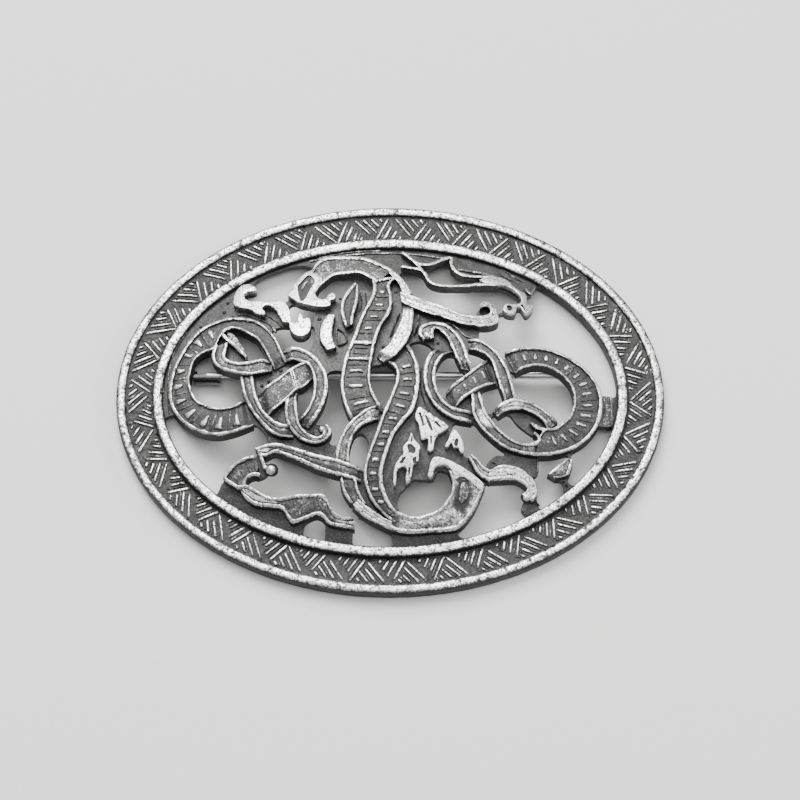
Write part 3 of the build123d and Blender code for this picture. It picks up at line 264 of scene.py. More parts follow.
# Holes through the ground between the bands
GAPS = {
    "foot_gap": [
        (-62.5, 62.5), (-58, 57.5), (-50, 57), (-45, 60.5), (-42, 63.5), (-39, 72), (-36.5, 79.5),
        (-34.5, 83), (-36.5, 87.5), (-43, 88), (-50, 85), (-57, 80.5), (-60.5, 76.5), (-61.8, 72),
        (-63, 68)],
    "jaw_gap": [
        (-45.3, 54), (-42.5, 57.5), (-38, 54.5), (-33.3, 53), (-33, 49), (-33.6, 44), (-35, 40.5),
        (-39, 40), (-43, 43), (-44.8, 49)],
    "ball_gap": [
        (-52, 38), (-48.5, 40.5), (-44, 40), (-40, 37), (-36, 38.5), (-33.7, 40), (-33, 35),
        (-33.6, 29), (-35, 24), (-38.5, 20.5), (-45, 20), (-48.5, 25), (-50.5, 31)],
    "leaf_gap": [
        (-70, 38.8), (-65, 37.5), (-60, 32.5), (-56.5, 25.5), (-54, 17), (-56.5, 12.5), (-61, 13),
        (-63.5, 18.5), (-66, 24), (-69.5, 30), (-72, 35)],
    "left_loop_gap": [
        (-76.5, 26), (-82, 24.5), (-86, 19.5), (-88.2, 12), (-88.5, 5.5), (-86.8, -3), (-84.5, -8.2),
        (-81, -11.3), (-77, -13.8), (-72.5, -14.6), (-67.5, -13.5), (-63, -10), (-62.5, 0), (-63, 6),
        (-66, 11), (-72.5, 14.5), (-75.8, 19)],
    "left_ring_gap": [
        (-40.5, -5.5), (-37, -3.5), (-33.3, 1), (-32, -4), (-33, -12), (-35.5, -18.5), (-38.5, -21),
        (-41, -19), (-42, -13)],
    "centre_left_gap": [
        (-27.5, 6), (-24, 8.5), (-20.5, 6.5), (-19.5, -3), (-19, -12), (-17, -22), (-17.5, -30),
        (-20.5, -36), (-22, -39.5), (-25.5, -39.5), (-27, -35), (-28.5, -28.5), (-33, -25.5),
        (-32, -20.5), (-29.5, -12), (-28.4, -3)],
    "centre_gap": [
        (-9, 9.5), (-4.5, 12), (0, 14.5), (2.5, 10), (4, 4), (3.5, -2), (1.5, -9), (-0.5, -16),
        (-4, -17), (-6.5, -14), (-8.5, -7), (-9.5, 1)],
    "arc_gap": [
        (-16, -36), (-13, -33), (-10.3, -35), (-9, -40), (-10, -48), (-12, -56.5), (-17.5, -56),
        (-17.7, -48), (-17.3, -42)],
    "leg_gap": [
        (-62.5, -62), (-60, -58.2), (-55, -57.5), (-52, -53), (-54, -48), (-51, -44.5), (-45, -45.5),
        (-38, -49.5), (-31, -54), (-24, -57), (-19.5, -60), (-19.7, -66), (-17.5, -72), (-14.5, -77),
        (-13.5, -82), (-15, -87), (-20, -86.5), (-24.5, -83.5), (-27.5, -77), (-30, -73), (-36, -73),
        (-44, -73.8), (-51, -74), (-57, -71), (-61, -67)],
    "rim_gap": [
        (-15.5, -83), (-11, -83.5), (-5, -88), (0, -91), (0.8, -95), (0.3, -100), (-8, -100.5),
        (-15.5, -99), (-16, -90)],
    "leg_notch": [
        (-37, -86), (-32, -82.5), (-28.5, -85), (-28, -90), (-28.8, -96), (-33, -95.3), (-37, -93.5)],
    "lower_left_gap": [
        (-98.5, -14.5), (-94, -14), (-89, -22), (-83, -27), (-75, -29.5), (-68, -28), (-60, -24.5),
        (-57, -26), (-54, -31), (-53, -37), (-56, -42), (-60, -46), (-66, -49), (-70.5, -55),
        (-73.3, -59.5), (-76, -65.5), (-82, -61), (-88, -52), (-93, -42), (-97, -30), (-99.5, -21)],
    "mouth_gap": [
        (-32.3, 62), (-31.3, 67), (-28, 73.3), (-24, 77), (-18.5, 77.3), (-13.5, 77.3), (-10, 74),
        (-8, 69.5), (-8.3, 65.5), (-12, 66.5), (-15.5, 65.5), (-18, 60), (-20.5, 57), (-24, 58),
        (-27, 59.5), (-30.2, 59)],
    "limb_gap": [
        (7.5, 63.5), (6.5, 70), (4, 76.5), (5.5, 81.5), (9, 80.8), (13, 79), (16, 74.5), (18.5, 69.5),
        (24, 67.3), (32, 67.7), (42, 69.5), (50, 69.5), (54, 66), (56.8, 61.5), (55.5, 57), (50.5, 55),
        (48.8, 51.5), (46.5, 51), (43.5, 54), (40, 53.5), (38, 50), (36.5, 45.5), (30, 47.5),
        (22, 51.5), (13, 56.5)],
    "foot_eye": [
        (14.2, 81.5), (18, 84), (22, 87), (25.8, 89), (26.5, 85.5), (27.3, 81.5), (30, 77.7),
        (34, 75.5), (38.5, 75), (39, 71.2), (32, 69), (25, 68.5), (19.8, 69.8), (17.7, 73), (16.3, 77.5)],
    "upper_right_gap": [
        (60, 64.5), (62.3, 66.5), (65, 74.5), (71, 71), (78.5, 62.5), (85.5, 53), (91.5, 42),
        (95.8, 31), (98.6, 19), (99.6, 8), (99, -0.5), (95.5, -1.5), (92, -2.5), (90, 4), (86, 11),
        (80, 17.3), (72, 22), (64, 23.5), (56, 22), (51, 19), (48.5, 16.5), (45.5, 21.5), (42, 25.5),
        (38, 28), (39, 33.5), (39.5, 38), (43.5, 40), (46.5, 43), (46.3, 48.5), (50, 50.5), (53.5, 51),
        (57, 55), (60, 51.5), (61.5, 55), (59.5, 59)],
    "spur_gap": [
        (7.5, 22), (10.3, 17), (11.8, 12.5), (15, 12), (17.3, 16.3), (18.8, 20.5), (17.5, 25),
        (13.5, 28), (9.5, 27)],
    "right_ring_gap": [
        (19.2, 9), (21.3, 14.5), (24.5, 18.3), (28.3, 18), (29.8, 13), (31.5, 8.5), (33.5, 4.5),
        (30, 0.5), (26.5, -5), (24.5, -9.5), (21, -9), (19.3, -3), (18.6, 3)],
    "strap_gap": [
        (33.5, 21.5), (36.5, 21.7), (41, 19.5), (44, 16.5), (45.5, 12.5), (42.5, 13.5), (38.5, 9.5),
        (35, 7), (34, 13)],
    "lead_gap": [
        (40.5, -4), (45, -1), (48, -1), (49.4, -6), (50.5, -12), (47.5, -15.5), (45, -18.5),
        (41.5, -18.5), (40, -14), (38.8, -9)],
    "right_loop_gap": [
        (55, 9), (59.5, 12), (65, 13.5), (70, 12.3), (75, 8.8), (78.7, 3), (80.3, -4), (80, -12),
        (78, -19), (74.5, -24), (71, -24), (69.5, -20.5), (65, -16), (60, -12.7), (54, -12), (52.3, -8),
        (51.8, -1), (50.7, 6), (52, 10)],
    "hook_gap": [
        (45.5, -19.5), (50, -18.3), (52.5, -19.5), (55, -24), (59, -28.5), (62.5, -31.5), (64.2, -35),
        (60, -38), (54, -37), (48.7, -33), (45, -27.5), (43.5, -22.5)],
    "lower_centre_gap": [
        (28.5, -25.5), (36, -25.5), (39.5, -29.5), (44, -35.5), (49, -41), (49.5, -44.5), (46, -45),
        (43, -48.5), (40.5, -52.5), (37, -49), (34, -47), (32, -45.5), (31, -39), (28.8, -32.5),
        (26.5, -30)],
    "leaf_side_gap": [
        (64.5, -43.5), (70, -42.5), (77, -41.5), (77.5, -46), (73.5, -50.5), (70.5, -54.5), (71.5, -57),
        (75, -58), (75.5, -63), (74.5, -67.5), (66, -75), (63.8, -70), (62, -63), (60.5, -58),
        (64.3, -54)],
    "rim_right_gap": [
        (92, -21), (98, -21.5), (96.5, -31.5), (93, -41), (87.5, -51), (82.5, -58.5), (78.5, -59),
        (77, -55), (78, -49), (78.5, -43.5), (80.5, -37.5), (86, -31.5), (90, -23.5)],
    "lower_right_gap": [
        (39.5, -66.5), (43, -60.5), (48, -59), (54, -58.5), (58, -61), (59.3, -66), (57.8, -72),
        (57, -76.5), (59.5, -81.5), (52.5, -86), (44.5, -90.5), (35.5, -94), (30.5, -93.5), (30, -90),
        (34.5, -82.5), (37.5, -75)],
    "lower_mouth_gap": [
        (4, -70), (3.5, -77), (6.5, -84), (11.5, -85.3), (17, -83.4), (21.7, -80.2), (24.8, -75.5),
        (26.9, -70), (27.5, -64), (25.5, -57), (21.5, -55), (20, -57), (18.3, -61), (14, -61),
        (10, -61), (7, -65)],
}

# Raised lines beside the bands
LINES = {
    "left_leaf": [
        (-70.5, 40.8), (-73.2, 39.5), (-73.6, 36.5), (-72, 33), (-69, 28.8), (-66, 24), (-63, 19)],
    "foot_top": [
        (5.3, 94.5), (7.5, 92), (10, 88), (12.5, 85.3), (15.5, 84.6), (18.5, 85.3), (22, 88),
        (25, 90.3), (27.2, 90.5), (27.1, 86.5), (28.2, 81.5), (31, 77.9), (35, 76.2), (40, 76.3),
        (46, 76.3)],
    "foot_base": [
        (5, 83.2), (9, 81.7), (13, 80.6), (15.3, 77.5), (16.8, 72.5), (19.5, 69), (25, 67.8),
        (32, 68.3), (39, 69.9), (48, 70.6)],
    "foot_tie": [
        (11.3, 86.5), (14, 80)],
    "limb_curl": [
        (-56.5, -44), (-55.6, -48), (-54.6, -51.5)],
    "paw_edge": [
        (-59, -46.2), (-63, -47.2), (-67, -50), (-70.3, -54), (-71.7, -57.8), (-69, -61), (-65.5, -64.3)],
    "paw_inner": [
        (-63.2, -64), (-63.3, -60.5), (-61.5, -58), (-59, -56.6), (-56.5, -57.3)],
    "loop_end": [
        (67.5, -28.8), (64.5, -27.9), (62.3, -26), (61, -24.7)],
    "lead_end": [
        (60, -38.9), (63, -37.8), (64.9, -35.6), (64.3, -33), (62.5, -31)],
}

# How each band is finished. Columns: its first end dives under another band, its last end
# dives, depth of its channel in millimetres, polish of the channel's floor, width of its left
# bead and of its right bead as a share of the usual one.
BAND_FORMS = {
    "left_loop": (1, 1, 0.34, 0.18, 0.9, 0.7),
    "left_hook": (0, 1, 0.3, 0.36, 1.0, 1.1),
    "left_post": (1, 1, 0.28, 0.3, 0.8, 1.0),
    "left_ring": (1, 1, 0.3, 0.3, 1.5, 0.9),
    "left_strap": (1, 1, 0.2, 0.3, 0.9, 0.9),
    "left_curl": (1, 0, 0.2, 0.35, 0.9, 0.9),
    "upper_body": (0, 1, 0.36, 0.16, 1.1, 1.0),
    "upper_neck": (0, 0, 0.26, 0.36, 1.3, 1.3),
    "upper_spur": (0, 0, 0.03, 0.9, 1.0, 1.0),
    "upper_ear": (0, 0, 0.3, 0.15, 1.1, 0.9),
    "upper_limb": (0, 0, 0.1, 0.7, 1.2, 1.0),
    "left_crescent": (0, 0, 0.03, 0.95, 1.0, 1.0),
    "right_crescent": (1, 1, 0.03, 0.85, 1.0, 1.0),
    "lower_body": (1, 0, 0.36, 0.18, 0.95, 1.4),
    "lower_neck": (0, 0, 0.18, 0.6, 1.2, 1.2),
    "lower_spur": (0, 1, 0.03, 0.9, 1.0, 1.0),
    "arc_band": (1, 1, 0.2, 0.42, 1.0, 1.1),
    "arc_tail": (1, 0, 0.3, 0.25, 0.9, 0.9),
    "left_limb": (0, 1, 0.24, 0.28, 1.1, 1.0),
    "left_leg": (0, 1, 0.26, 0.3, 1.0, 1.1),
    "right_curl": (0, 1, 0.26, 0.35, 1.0, 1.2),
    "right_ring": (1, 1, 0.3, 0.2, 1.2, 1.0),
    "right_strap": (1, 1, 0.26, 0.22, 0.9, 0.9),
    "right_band": (1, 1, 0.28, 0.3, 1.1, 0.9),
    "right_lead": (1, 0, 0.26, 0.3, 1.0, 1.0),
    "right_loop": (1, 0, 0.34, 0.18, 0.95, 0.75),
    "right_hook": (1, 1, 0.16, 0.5, 1.1, 1.0),
    "right_limb": (0, 0, 0.05, 0.8, 1.1, 1.1),
    "right_fin": (0, 0, 0.2, 0.5, 1.0, 1.0),
    "small_leaf": (0, 0, 0.2, 0.4, 0.9, 0.9),
}

# Which bands are modelled as one piece
BAND_GROUPS = {
    "left_interlace": ("left_loop", "left_hook", "left_post", "left_ring", "left_strap", "left_curl"),
    "beast_bodies": (
        "upper_body", "upper_neck", "upper_spur", "upper_ear", "lower_body", "lower_neck",
        "lower_spur", "arc_band", "arc_tail", "left_crescent", "right_crescent"),
    "limbs": ("upper_limb", "left_limb", "left_leg", "right_limb", "right_fin", "small_leaf"),
    "right_interlace": (
        "right_curl", "right_ring", "right_strap", "right_band", "right_lead", "right_loop",
        "right_hook"),
}

# Bars across the channels. Columns: share of the band's length at the first bar, share at
# the last bar, number of bars, width of a bar, depth of its top, share of the channel's width
# that it spans, its shift towards the right bead as a share of that width, how much wider its
# right end is than its left one, polish of its middle.
BARS = {
    "left_loop": [
        (0.38, 0.945, 10, 0.44, 0.06, 0.5, -0.06, -1.2, 1.0),
        (0.411, 0.914, 9, 0.26, 0.2, 0.8, 0, 0, 0.4)],
    "upper_body": [
        (0.1, 0.38, 4, 0.3, 0.1, 0.36, 0, 0, 0.9), (0.135, 0.415, 4, 0.13, 0.16, 0.72, 0, 0, 0.35),
        (0.49, 0.6, 2, 0.36, 0.02, 1.0, 0, 0, 1.0), (0.53, 0.56, 2, 0.13, 0.16, 0.6, 0, 0, 0.4),
        (0.68, 0.9, 3, 0.32, 0.08, 0.55, 0, 0, 0.9), (0.645, 0.935, 5, 0.12, 0.2, 0.75, 0, 0, 0.3)],
    "lower_body": [
        (0.09, 0.86, 11, 0.36, 0.08, 0.46, 0, 0, 0.9), (0.125, 0.82, 10, 0.14, 0.2, 0.75, 0, 0, 0.25)],
    "right_loop": [
        (0.08, 0.9, 14, 0.32, 0.1, 0.4, 0, 0.4, 0.85), (0.11, 0.87, 13, 0.13, 0.2, 0.72, 0, 0, 0.3)],
    "left_strap": [
        (0.62, 0.66, 2, 0.2, 0.02, 1.0, 0, 0, 0.9), (0.76, 0.8, 2, 0.15, 0.08, 0.5, 0, 0, 0.6)],
    "right_strap": [
        (0.4, 0.8, 3, 0.32, 0.1, 0.42, 0, 0, 0.8), (0.47, 0.87, 3, 0.12, 0.18, 0.7, 0, 0, 0.3)],
}

# Low ridges on the ground, the plates and the heads. Columns: width, depth of the ridge's
# top, its places.
RIDGES = [
    (0.28, 0.92, [(-36, 91.5), (-20, 95.5), (-5, 96.8), (10, 96), (26, 92.5)]),
    (0.22, 0.95, [(-32, 94), (-18, 98), (-4, 99)]),
    (0.4, 0.85, [(30, 84), (38, 82.5), (47, 79.5)]),
    (0.24, 0.55, [(64.8, 73.5), (63.5, 69.5), (62.5, 66.5), (61, 68.5), (60.3, 70.5)]),
    (0.16, 0.98, [(48, 84), (52, 79), (57, 76)]),
    (0.16, 0.98, [(50, 86), (55, 80.5), (60, 77)]),
    (0.2, 0.98, [(-97, -12), (-98, 8), (-96, 28), (-90, 44)]),
    (0.18, 0.98, [(-99.5, -8), (-100, 10), (-98, 27)]),
    (0.2, 0.95, [(-68, 53), (-61, 50), (-54, 44), (-50, 37)]),
    (0.2, 0.95, [(-69, 56.5), (-60, 53.5), (-52, 47.5), (-47, 40)]),
    (0.18, 0.62, [(93.3, -20), (94.2, -10), (94, -2.5)]),
    (0.2, 0.55, [(96.6, -20), (97.2, -10), (96.8, -2)]),
    (0.2, 0.8, [(-23.5, 38), (-23.4, 30), (-22.5, 25.5), (-19, 28), (-20, 33.5), (-23.5, 38)]),
    (0.2, 0.75, [(0, 31), (2, 40), (4, 48)]),
    (0.14, 0.9, [(-13, 62), (-12.5, 56), (-13.5, 50)]),
    (0.14, 0.9, [(-11, 64), (-10.6, 57), (-11.5, 50)]),
    (0.2, 0.9, [(13.8, 12), (13.2, 0), (14.8, -12), (19, -23)]),
    (0.2, 0.9, [(16.6, 12), (15.9, 0), (17.4, -10), (21.8, -20)]),
    (0.22, 0.9, [(19, 41.5), (27, 41), (33, 33), (38, 31.5)]),
    (0.2, 0.5, [(64, -46), (64.2, -54)]),
    (0.2, 0.7, [(57, -76), (59, -80)]),
    (0.2, 0.7, [(63.5, -71.5), (65, -73.5)]),
    (0.2, 0.04, [(-43.8, 1), (-42.5, -1.5), (-41.3, -5), (-39, -3.5), (-37, -2.3), (-35.3, 0.5)]),
    (0.2, 0.04, [(-36.5, 72.5), (-38, 70), (-39, 66)]),
    (0.22, 0.12, [(11, -24.5), (13, -31), (14, -37.5), (16, -37.5)]),
    (0.18, 0.1, [(44, -50.3), (46, -51.5), (47.5, -53.5)]),
    (0.13, 0.14, [(-45, -74), (-43.3, -80)]),
    (0.13, 0.14, [(-42, -73.5), (-40.3, -83.5)]),
    (0.13, 0.14, [(-39, -73.5), (-37.6, -83)]),
    (0.13, 0.14, [(-36, -73.5), (-35, -82)]),
    (0.13, 0.14, [(-33, -73.8), (-32.4, -81)]),
    (0.13, 0.42, [(-68.5, -55), (-65.5, -62)]),
    (0.13, 0.42, [(-65.8, -51.5), (-63, -58.5)]),
    (0.13, 0.42, [(-62.6, -49.5), (-60.3, -56)]),
    (0.13, 0.42, [(-59.4, -48.5), (-58, -55.5)]),
    (0.36, 0.02, [(-5, 71.5), (-1.6, 72.8), (1.7, 73.5)]),
    (0.16, 0.3, [(-38.6, 74.5), (-38.8, 69), (-38.2, 63)]),
    (0.22, 0.45, [(12.5, 46), (12, 40), (10.5, 33)]),
]

# Cast bubbles, most of them on the ground. Columns: x, y, diameter, depth of the bubble's top.
BUBBLES = [
    (-72, 62, 0.4, 0.95), (-73.5, 55, 0.45, 0.95), (-70, 51, 0.34, 0.95), (-67, 50.5, 0.34, 0.95),
    (-84, 46, 0.34, 0.98), (-31, 45, 0.5, 0.95), (2.5, 64.5, 0.4, 0.95), (-3, 24, 0.4, 0.95),
    (10.3, 45.7, 0.4, 0.95), (11, 35, 0.34, 0.95), (18.7, 23, 0.3, 0.95), (21, 27, 0.3, 0.95),
    (32, -17, 0.4, 0.95), (-56, 0.5, 0.4, 0.95), (-53, 3, 0.34, 0.95), (-47.7, 8.5, 0.45, 0.3),
    (-43, 12, 0.4, 0.95), (-49, -23, 0.34, 0.95), (-33.5, -33, 0.4, 0.6), (27, -12, 0.4, 0.95),
    (77, -60, 0.35, 0.95), (75.5, -58, 0.3, 0.95), (-22, 60, 0.3, 1.0), (-27, 30, 0.34, 0.98)]

# Shallow hollows in the heads, the feet and the leaves
HOLLOWS = {
    "upper_eye": [
        (-36, 77), (-39, 72.5), (-41, 68), (-40.3, 61), (-39.5, 56.5), (-37.5, 58), (-35, 66),
        (-33.2, 72)],
    "lower_eye": [
        (31.5, -60.5), (29, -65), (28.3, -71), (28, -75.5), (30.5, -78), (34, -75), (36, -69),
        (34.8, -63.5)],
    "toe_middle": [(51.3, 54), (52.4, 54.8), (53.8, 53.8), (53.4, 51), (52, 50.6)],
    "toe_slot": [(57.3, 55.6), (58.4, 55.8), (59.6, 52), (59.4, 50.6), (58.8, 52.6)],
    "fang_middle": [(27.6, -40.8), (28.4, -37.5), (29.6, -37.8), (29.3, -41.6), (28.4, -42.4)],
    "inner_leaf_middle": [(7.4, -42), (9, -41.4), (11.2, -44.2), (10.6, -47), (8.2, -46.2)],
    "inner_leaf_top": [(9.2, -36.6), (9.8, -37), (9.6, -40), (8.9, -40.4)],
    "inner_leaf_left": [(4.2, -53), (5.2, -50.4), (6.9, -48.4), (6.3, -51.5), (4.9, -53.6)],
    "inner_leaf_right": [(10.2, -49.4), (11.2, -49), (11.3, -52.4), (10.5, -53), (9.6, -51)],
    "inner_leaf_foot": [(8, -55.3), (8.9, -55.6), (8.5, -60.3), (7.9, -61)],
    "flame_top": [(12.4, -21.8), (13.1, -21.4), (14.4, -26), (14.9, -30), (14.1, -30.2), (13.2, -26)],
    "flame_middle": [(15, -23.4), (15.8, -23.4), (17.7, -28.5), (18.6, -33), (17.8, -33.2), (16.2, -28.6)],
    "flame_side": [(19, -26.7), (20, -27), (22.4, -30.6), (22.2, -31.4), (20.4, -29.8)],
    "flame_foot": [(17.3, -36), (18, -36), (18.2, -40.5), (17.5, -41.5)],
}
HOLLOW_DEPTH = 0.26

# Round ends of the limbs. Columns: x, y, diameter, depth of the ball's top.
BALLS = [
    (-51.3, -54, 1.4, 0), (-54, -52.5, 0.8, 0.1), (-29.3, -31, 0.9, 0.05), (58.9, -69.6, 1.1, 0.05),
    (16.3, 30.6, 1.25, 0.0)]

# Plates lower than the tops of the beads. Columns: depth of the plate's top, its polish, its
# outline.
PLATES = {
    "paw_plate": (0.5, 0.34, [
        (-59, -46.4), (-63, -47.4), (-67, -50.2), (-70.2, -54.2), (-71.5, -57.8), (-69, -60.8),
        (-65.5, -64), (-63.4, -63), (-63.4, -60.3), (-61.3, -57.8), (-58.8, -56.5), (-57, -52)]),
    "hook_plate": (0.6, 0.42, [(-72, 38.5), (-69, 37), (-66, 30), (-63, 22), (-66, 22.5), (-70, 30)]),
    "strip_plate": (0.75, 0.34, [(80.5, -6), (96.5, -1.8), (97.6, -10), (97, -21), (89, -21), (88, -12)]),
    "eye_middle": (0.1, 0.42, [
        (31.6, -63.2), (30.3, -66.5), (30, -71), (29.7, -74.3), (31, -75.5), (33, -73), (34.2, -69),
        (33.5, -65.3)]),
}

# Patches of the bands' floors that are filled or sunk. Columns: x, y, radius in millimetres,
# rise of the floor, its polish.
FLOOR_PATCHES = [
    (-62, -66.6, 1.0, 0.22, 0.95), (-57, -70.8, 1.2, 0.22, 0.95), (-52.5, -73.4, 1.1, 0.2, 0.95),
    (-15.5, -86.5, 0.9, 0.2, 0.9), (-20, -86.5, 0.9, 0.2, 0.9), (-56, -43, 1.0, 0.2, 0.95),
    (30.3, -76, 1.0, -0.2, 0.05), (31.5, -71, 1.1, -0.2, 0.05), (31.7, -65.5, 1.0, -0.2, 0.05),
    (42.5, -23, 1.3, 0.22, 0.9), (1, -84.5, 1.0, 0.1, 0.2)]

# Section of a bead. Columns: out from its middle, depth, both in millimetres, polish.
BEAD_SECTION = [
    (0.21, 0.45, 0.05), (0.2, 0.22, 0.3), (0.16, 0.07, 0.85), (0.08, 0.01, 1.0), (-0.04, 0.0, 1.0),
    (-0.13, 0.05, 0.85), (-0.18, 0.16, 0.4), (-0.21, 0.34, 0.0)]
FLOOR_POINTS = 5
# Rounded tops of the ring and the rim. Columns: out from the field's edge, depth below the top.
RING_TOP = [
    (0.03, 0.19), (0.1, 0.08), (0.2, 0.02), (0.32, 0), (0.45, 0), (0.6, 0), (0.78, 0.01),
    (0.92, 0.05), (1.03, 0.15), (1.1, 0.3), (1.12, 0.55)]
RIM_TOP = [
    (4.0, 0.25), (4.04, 0.13), (4.12, 0.05), (4.24, 0.01), (4.38, 0), (4.52, 0), (4.66, 0.02),
    (4.79, 0.08), (4.9, 0.18), (4.97, 0.33), (5.0, 0.55), (5.0, 0.95), (4.99, 1.45), (4.96, 1.7)]
# Section of the whole border. Columns: out from the field's edge, height.
BORDER_SECTION = [
    (-0.02, 0.6), (0.0, 1.2), (0.0, 2.0),
    *[(out, RING_HEIGHT - down) for out, down in RING_TOP],
    (1.14, BORDER_FLOOR + 0.04),
    *[(out, BORDER_FLOOR) for out in (1.25, 1.45, 1.8, 2.15, 2.5, 2.85, 3.2, 3.55, 3.85)],
    (3.98, BORDER_FLOOR + 0.04),
    *[(out, RIM_HEIGHT - down) for out, down in RIM_TOP],
    (4.85, 0.0), (4.2, 0.0), (5.15 - SEAT_WIDTH, 0.0), (5 - SEAT_WIDTH, 0.1),
    (5 - SEAT_WIDTH, UNDERSIDE_RECESS), (1.8, UNDERSIDE_RECESS), (0.0, UNDERSIDE_RECESS)]
# The ring's foot and the rim's, out from the field's edge
RING_REACH = 1.2
RIM_REACH = 4.0
SPIN_STEPS = 1200
PIT_DEPTH = 0.12

# Places and sizes of the pin's fittings on the back, in millimetres
PIN_LINE = 15.3 / 100 * FIELD_B
CATCH_LINE = PIN_LINE - 0.2
HINGE_LINE = 79.0 / 100 * FIELD_A
LUG_LINE = -89.9 / 100 * FIELD_A
PIN_HEIGHT = 1.25
EAR_GAP = 0.82
EAR_THICKNESS = 0.5
EAR_RADIUS = 0.7
RIVET_HOLE_RADIUS = 0.29
LUG_RADIUS = 0.85
LUG_LENGTH = 0.95
JOURNAL_HOLE_RADIUS = 0.43
JOURNAL_HEAD_RADIUS = 0.65
JOURNAL_HEAD_DEPTH = 0.27
ARC_STEPS = 16

# Soft lights of the stage. Columns: name, place and side in metres, power in watts.
LAMPS = [
    ("key_light", (-0.12, 0.34, 0.46), 0.35, 8.0), ("top_light", (0.05, 0.0, 0.6), 0.5, 3.4),
    ("side_light", (0.5, 0.05, 0.3), 0.3, 2.0)]


def place(x, y):
    """Place on the field, from percent of its half-length and half-width."""
    return Vector((x / 100 * FIELD_A, y / 100 * FIELD_B))


def dome_height(x, y, depth=0.0):
    """Height of the domed surface that lies depth below the tops of the beads."""
    return CROWN_HEIGHT - depth - DOME_RISE * ((x / FIELD_A) ** 2 + (y / FIELD_B) ** 2)


def on_dome(point, depth):
    """A place of the field at this depth below the tops of the beads."""
    return Vector((point.x, point.y, dome_height(point.x, point.y, depth)))


def smooth(value):
    """Eases a share between 0 and 1."""
    value = min(1.0, max(0.0, value))
    return value * value * (3 - 2 * value)


def roughen(x, y, z, size, amount):
    """Small random height that is the same at each run; size is the width of a bump."""
    return noise.noise(Vector((x, y, z)) / size) * amount


def smooth_rows(rows, step, closed=False):
    """Rows of numbers along a smooth curve through the given rows."""
    last = len(rows) - 1
    made = []
    for i in range(len(rows) if closed else last):
        if closed:
            p, q, r, s = (rows[(i + k) % len(rows)] for k in (-1, 0, 1, 2))
        else:
            p, q, r, s = (rows[min(max(i + k, 0), last)] for k in (-1, 0, 1, 2))
        reach = max(math.dist(q[k:k + 2], r[k:k + 2]) for k in range(0, len(q), 2))
        count = max(1, math.ceil(reach / step))
        for j in range(count):
            t = j / count
            made.append(tuple(
                b + (c - a) * t / 2 + (2 * a - 5 * b + 4 * c - d) * t * t / 2
                + (3 * b - a - 3 * c + d) * t**3 / 2
                for a, b, c, d in zip(p, q, r, s)))
    if not closed:
        made.append(tuple(rows[last]))
    return made


def outline_points(points, step=0.25):
    """Places along a smooth closed line through points of the field."""
    return [Vector(row) for row in smooth_rows([tuple(place(*p)) for p in points], step, closed=True)]


def relief_layer(bm):
    """The vertex layer that holds how far each vertex stands in the polished relief."""
    return bm.verts.layers.float.get("relief") or bm.verts.layers.float.new("relief")


def tube(bm, rings):
    """Open-ended shell through rings of as many points; a point is a place and its polish."""
    layer = relief_layer(bm)
    around = len(rings[0])
    made = bmesh.ops.create_grid(bm, x_segments=around, y_segments=len(rings) - 1, size=1.0)["verts"]
    for i, vert in enumerate(made):
        spot, polish = rings[i // (around + 1)][i % (around + 1) % around]
        vert.co = spot
        vert[layer] = max(0.002, polish)


def weld(bm):
    """Closes the seams and the ends of all tubes."""
    bmesh.ops.remove_doubles(bm, verts=bm.verts, dist=1e-5)
    bmesh.ops.holes_fill(bm, edges=[edge for edge in bm.edges if edge.is_boundary], sides=0)


def close_between(bm, line, other):
    """Faces of the shell between two closed lines of vertices, in the same order at each run."""
    sides = [bm.faces.new((line[i - 1], line[i], other[i], other[i - 1])) for i in range(len(line))]
    for face in (bm.faces.new(line[::-1]), bm.faces.new(other), *sides):
        face.normal_update()


def slab(bm, points, top, bottom, bevel=0.0):
    """Upright shell inside a closed line, from one height function to another.

    The bevel's shape depends on the faces' normals, which are set before the top is lifted.
    """
    lower = [bm.verts.new((point.x, point.y, bottom(point))) for point in points]
    upper = [bm.verts.new(vert.co) for vert in lower]
    close_between(bm, lower, upper)
    for vert in upper:
        vert.co.z = top(vert.co)
    if bevel:
        crest = [bm.edges.get((upper[i - 1], upper[i])) for i in range(len(upper))]
        bmesh.ops.bevel(
            bm, geom=crest, offset=bevel, affect="EDGES", segments=3, profile=0.5, material=-1,
            clamp_overlap=True)


def bar(bm, start, end, width, surface, foot, polish=1.0, flare=0.0):
    """Rounded bar between two places; surface gives the height of its top, foot its depth.

    flare is how much wider its end is than its start, as a share of the width.
    """
    run = end - start
    side = Vector((-run.y, run.x)).normalized()
    rings = []
    for share, drop, bright in ((0, 0.14, 0.3), (0.07, 0.05, 0.7), (0.3, 0, 1), (0.7, 0, 1),
                                (0.93, 0.05, 0.7), (1, 0.14, 0.3)):
        middle = start + run * share
        ring = []
        for across, down, glow in ((-0.5, foot, 0), (-0.5, 0.12, 0.3), (-0.3, 0.03, 0.9), (0, 0, 1),
                                   (0.3, 0.03, 0.9), (0.5, 0.12, 0.3), (0.5, foot, 0)):
            wide = width * (1 + flare * (share - 0.5)) * (1 + roughen(middle.x, middle.y, 3, 0.4, 0.7))
            spot = middle + side * across * wide
            wave = roughen(spot.x, spot.y, 0, 0.35, 0.06) - 0.02
            place_of = Vector((spot.x, spot.y, surface(spot) - max(down, drop) + wave))
            ring.append((place_of, polish * bright * glow))
        rings.append(ring)
    tube(bm, rings)


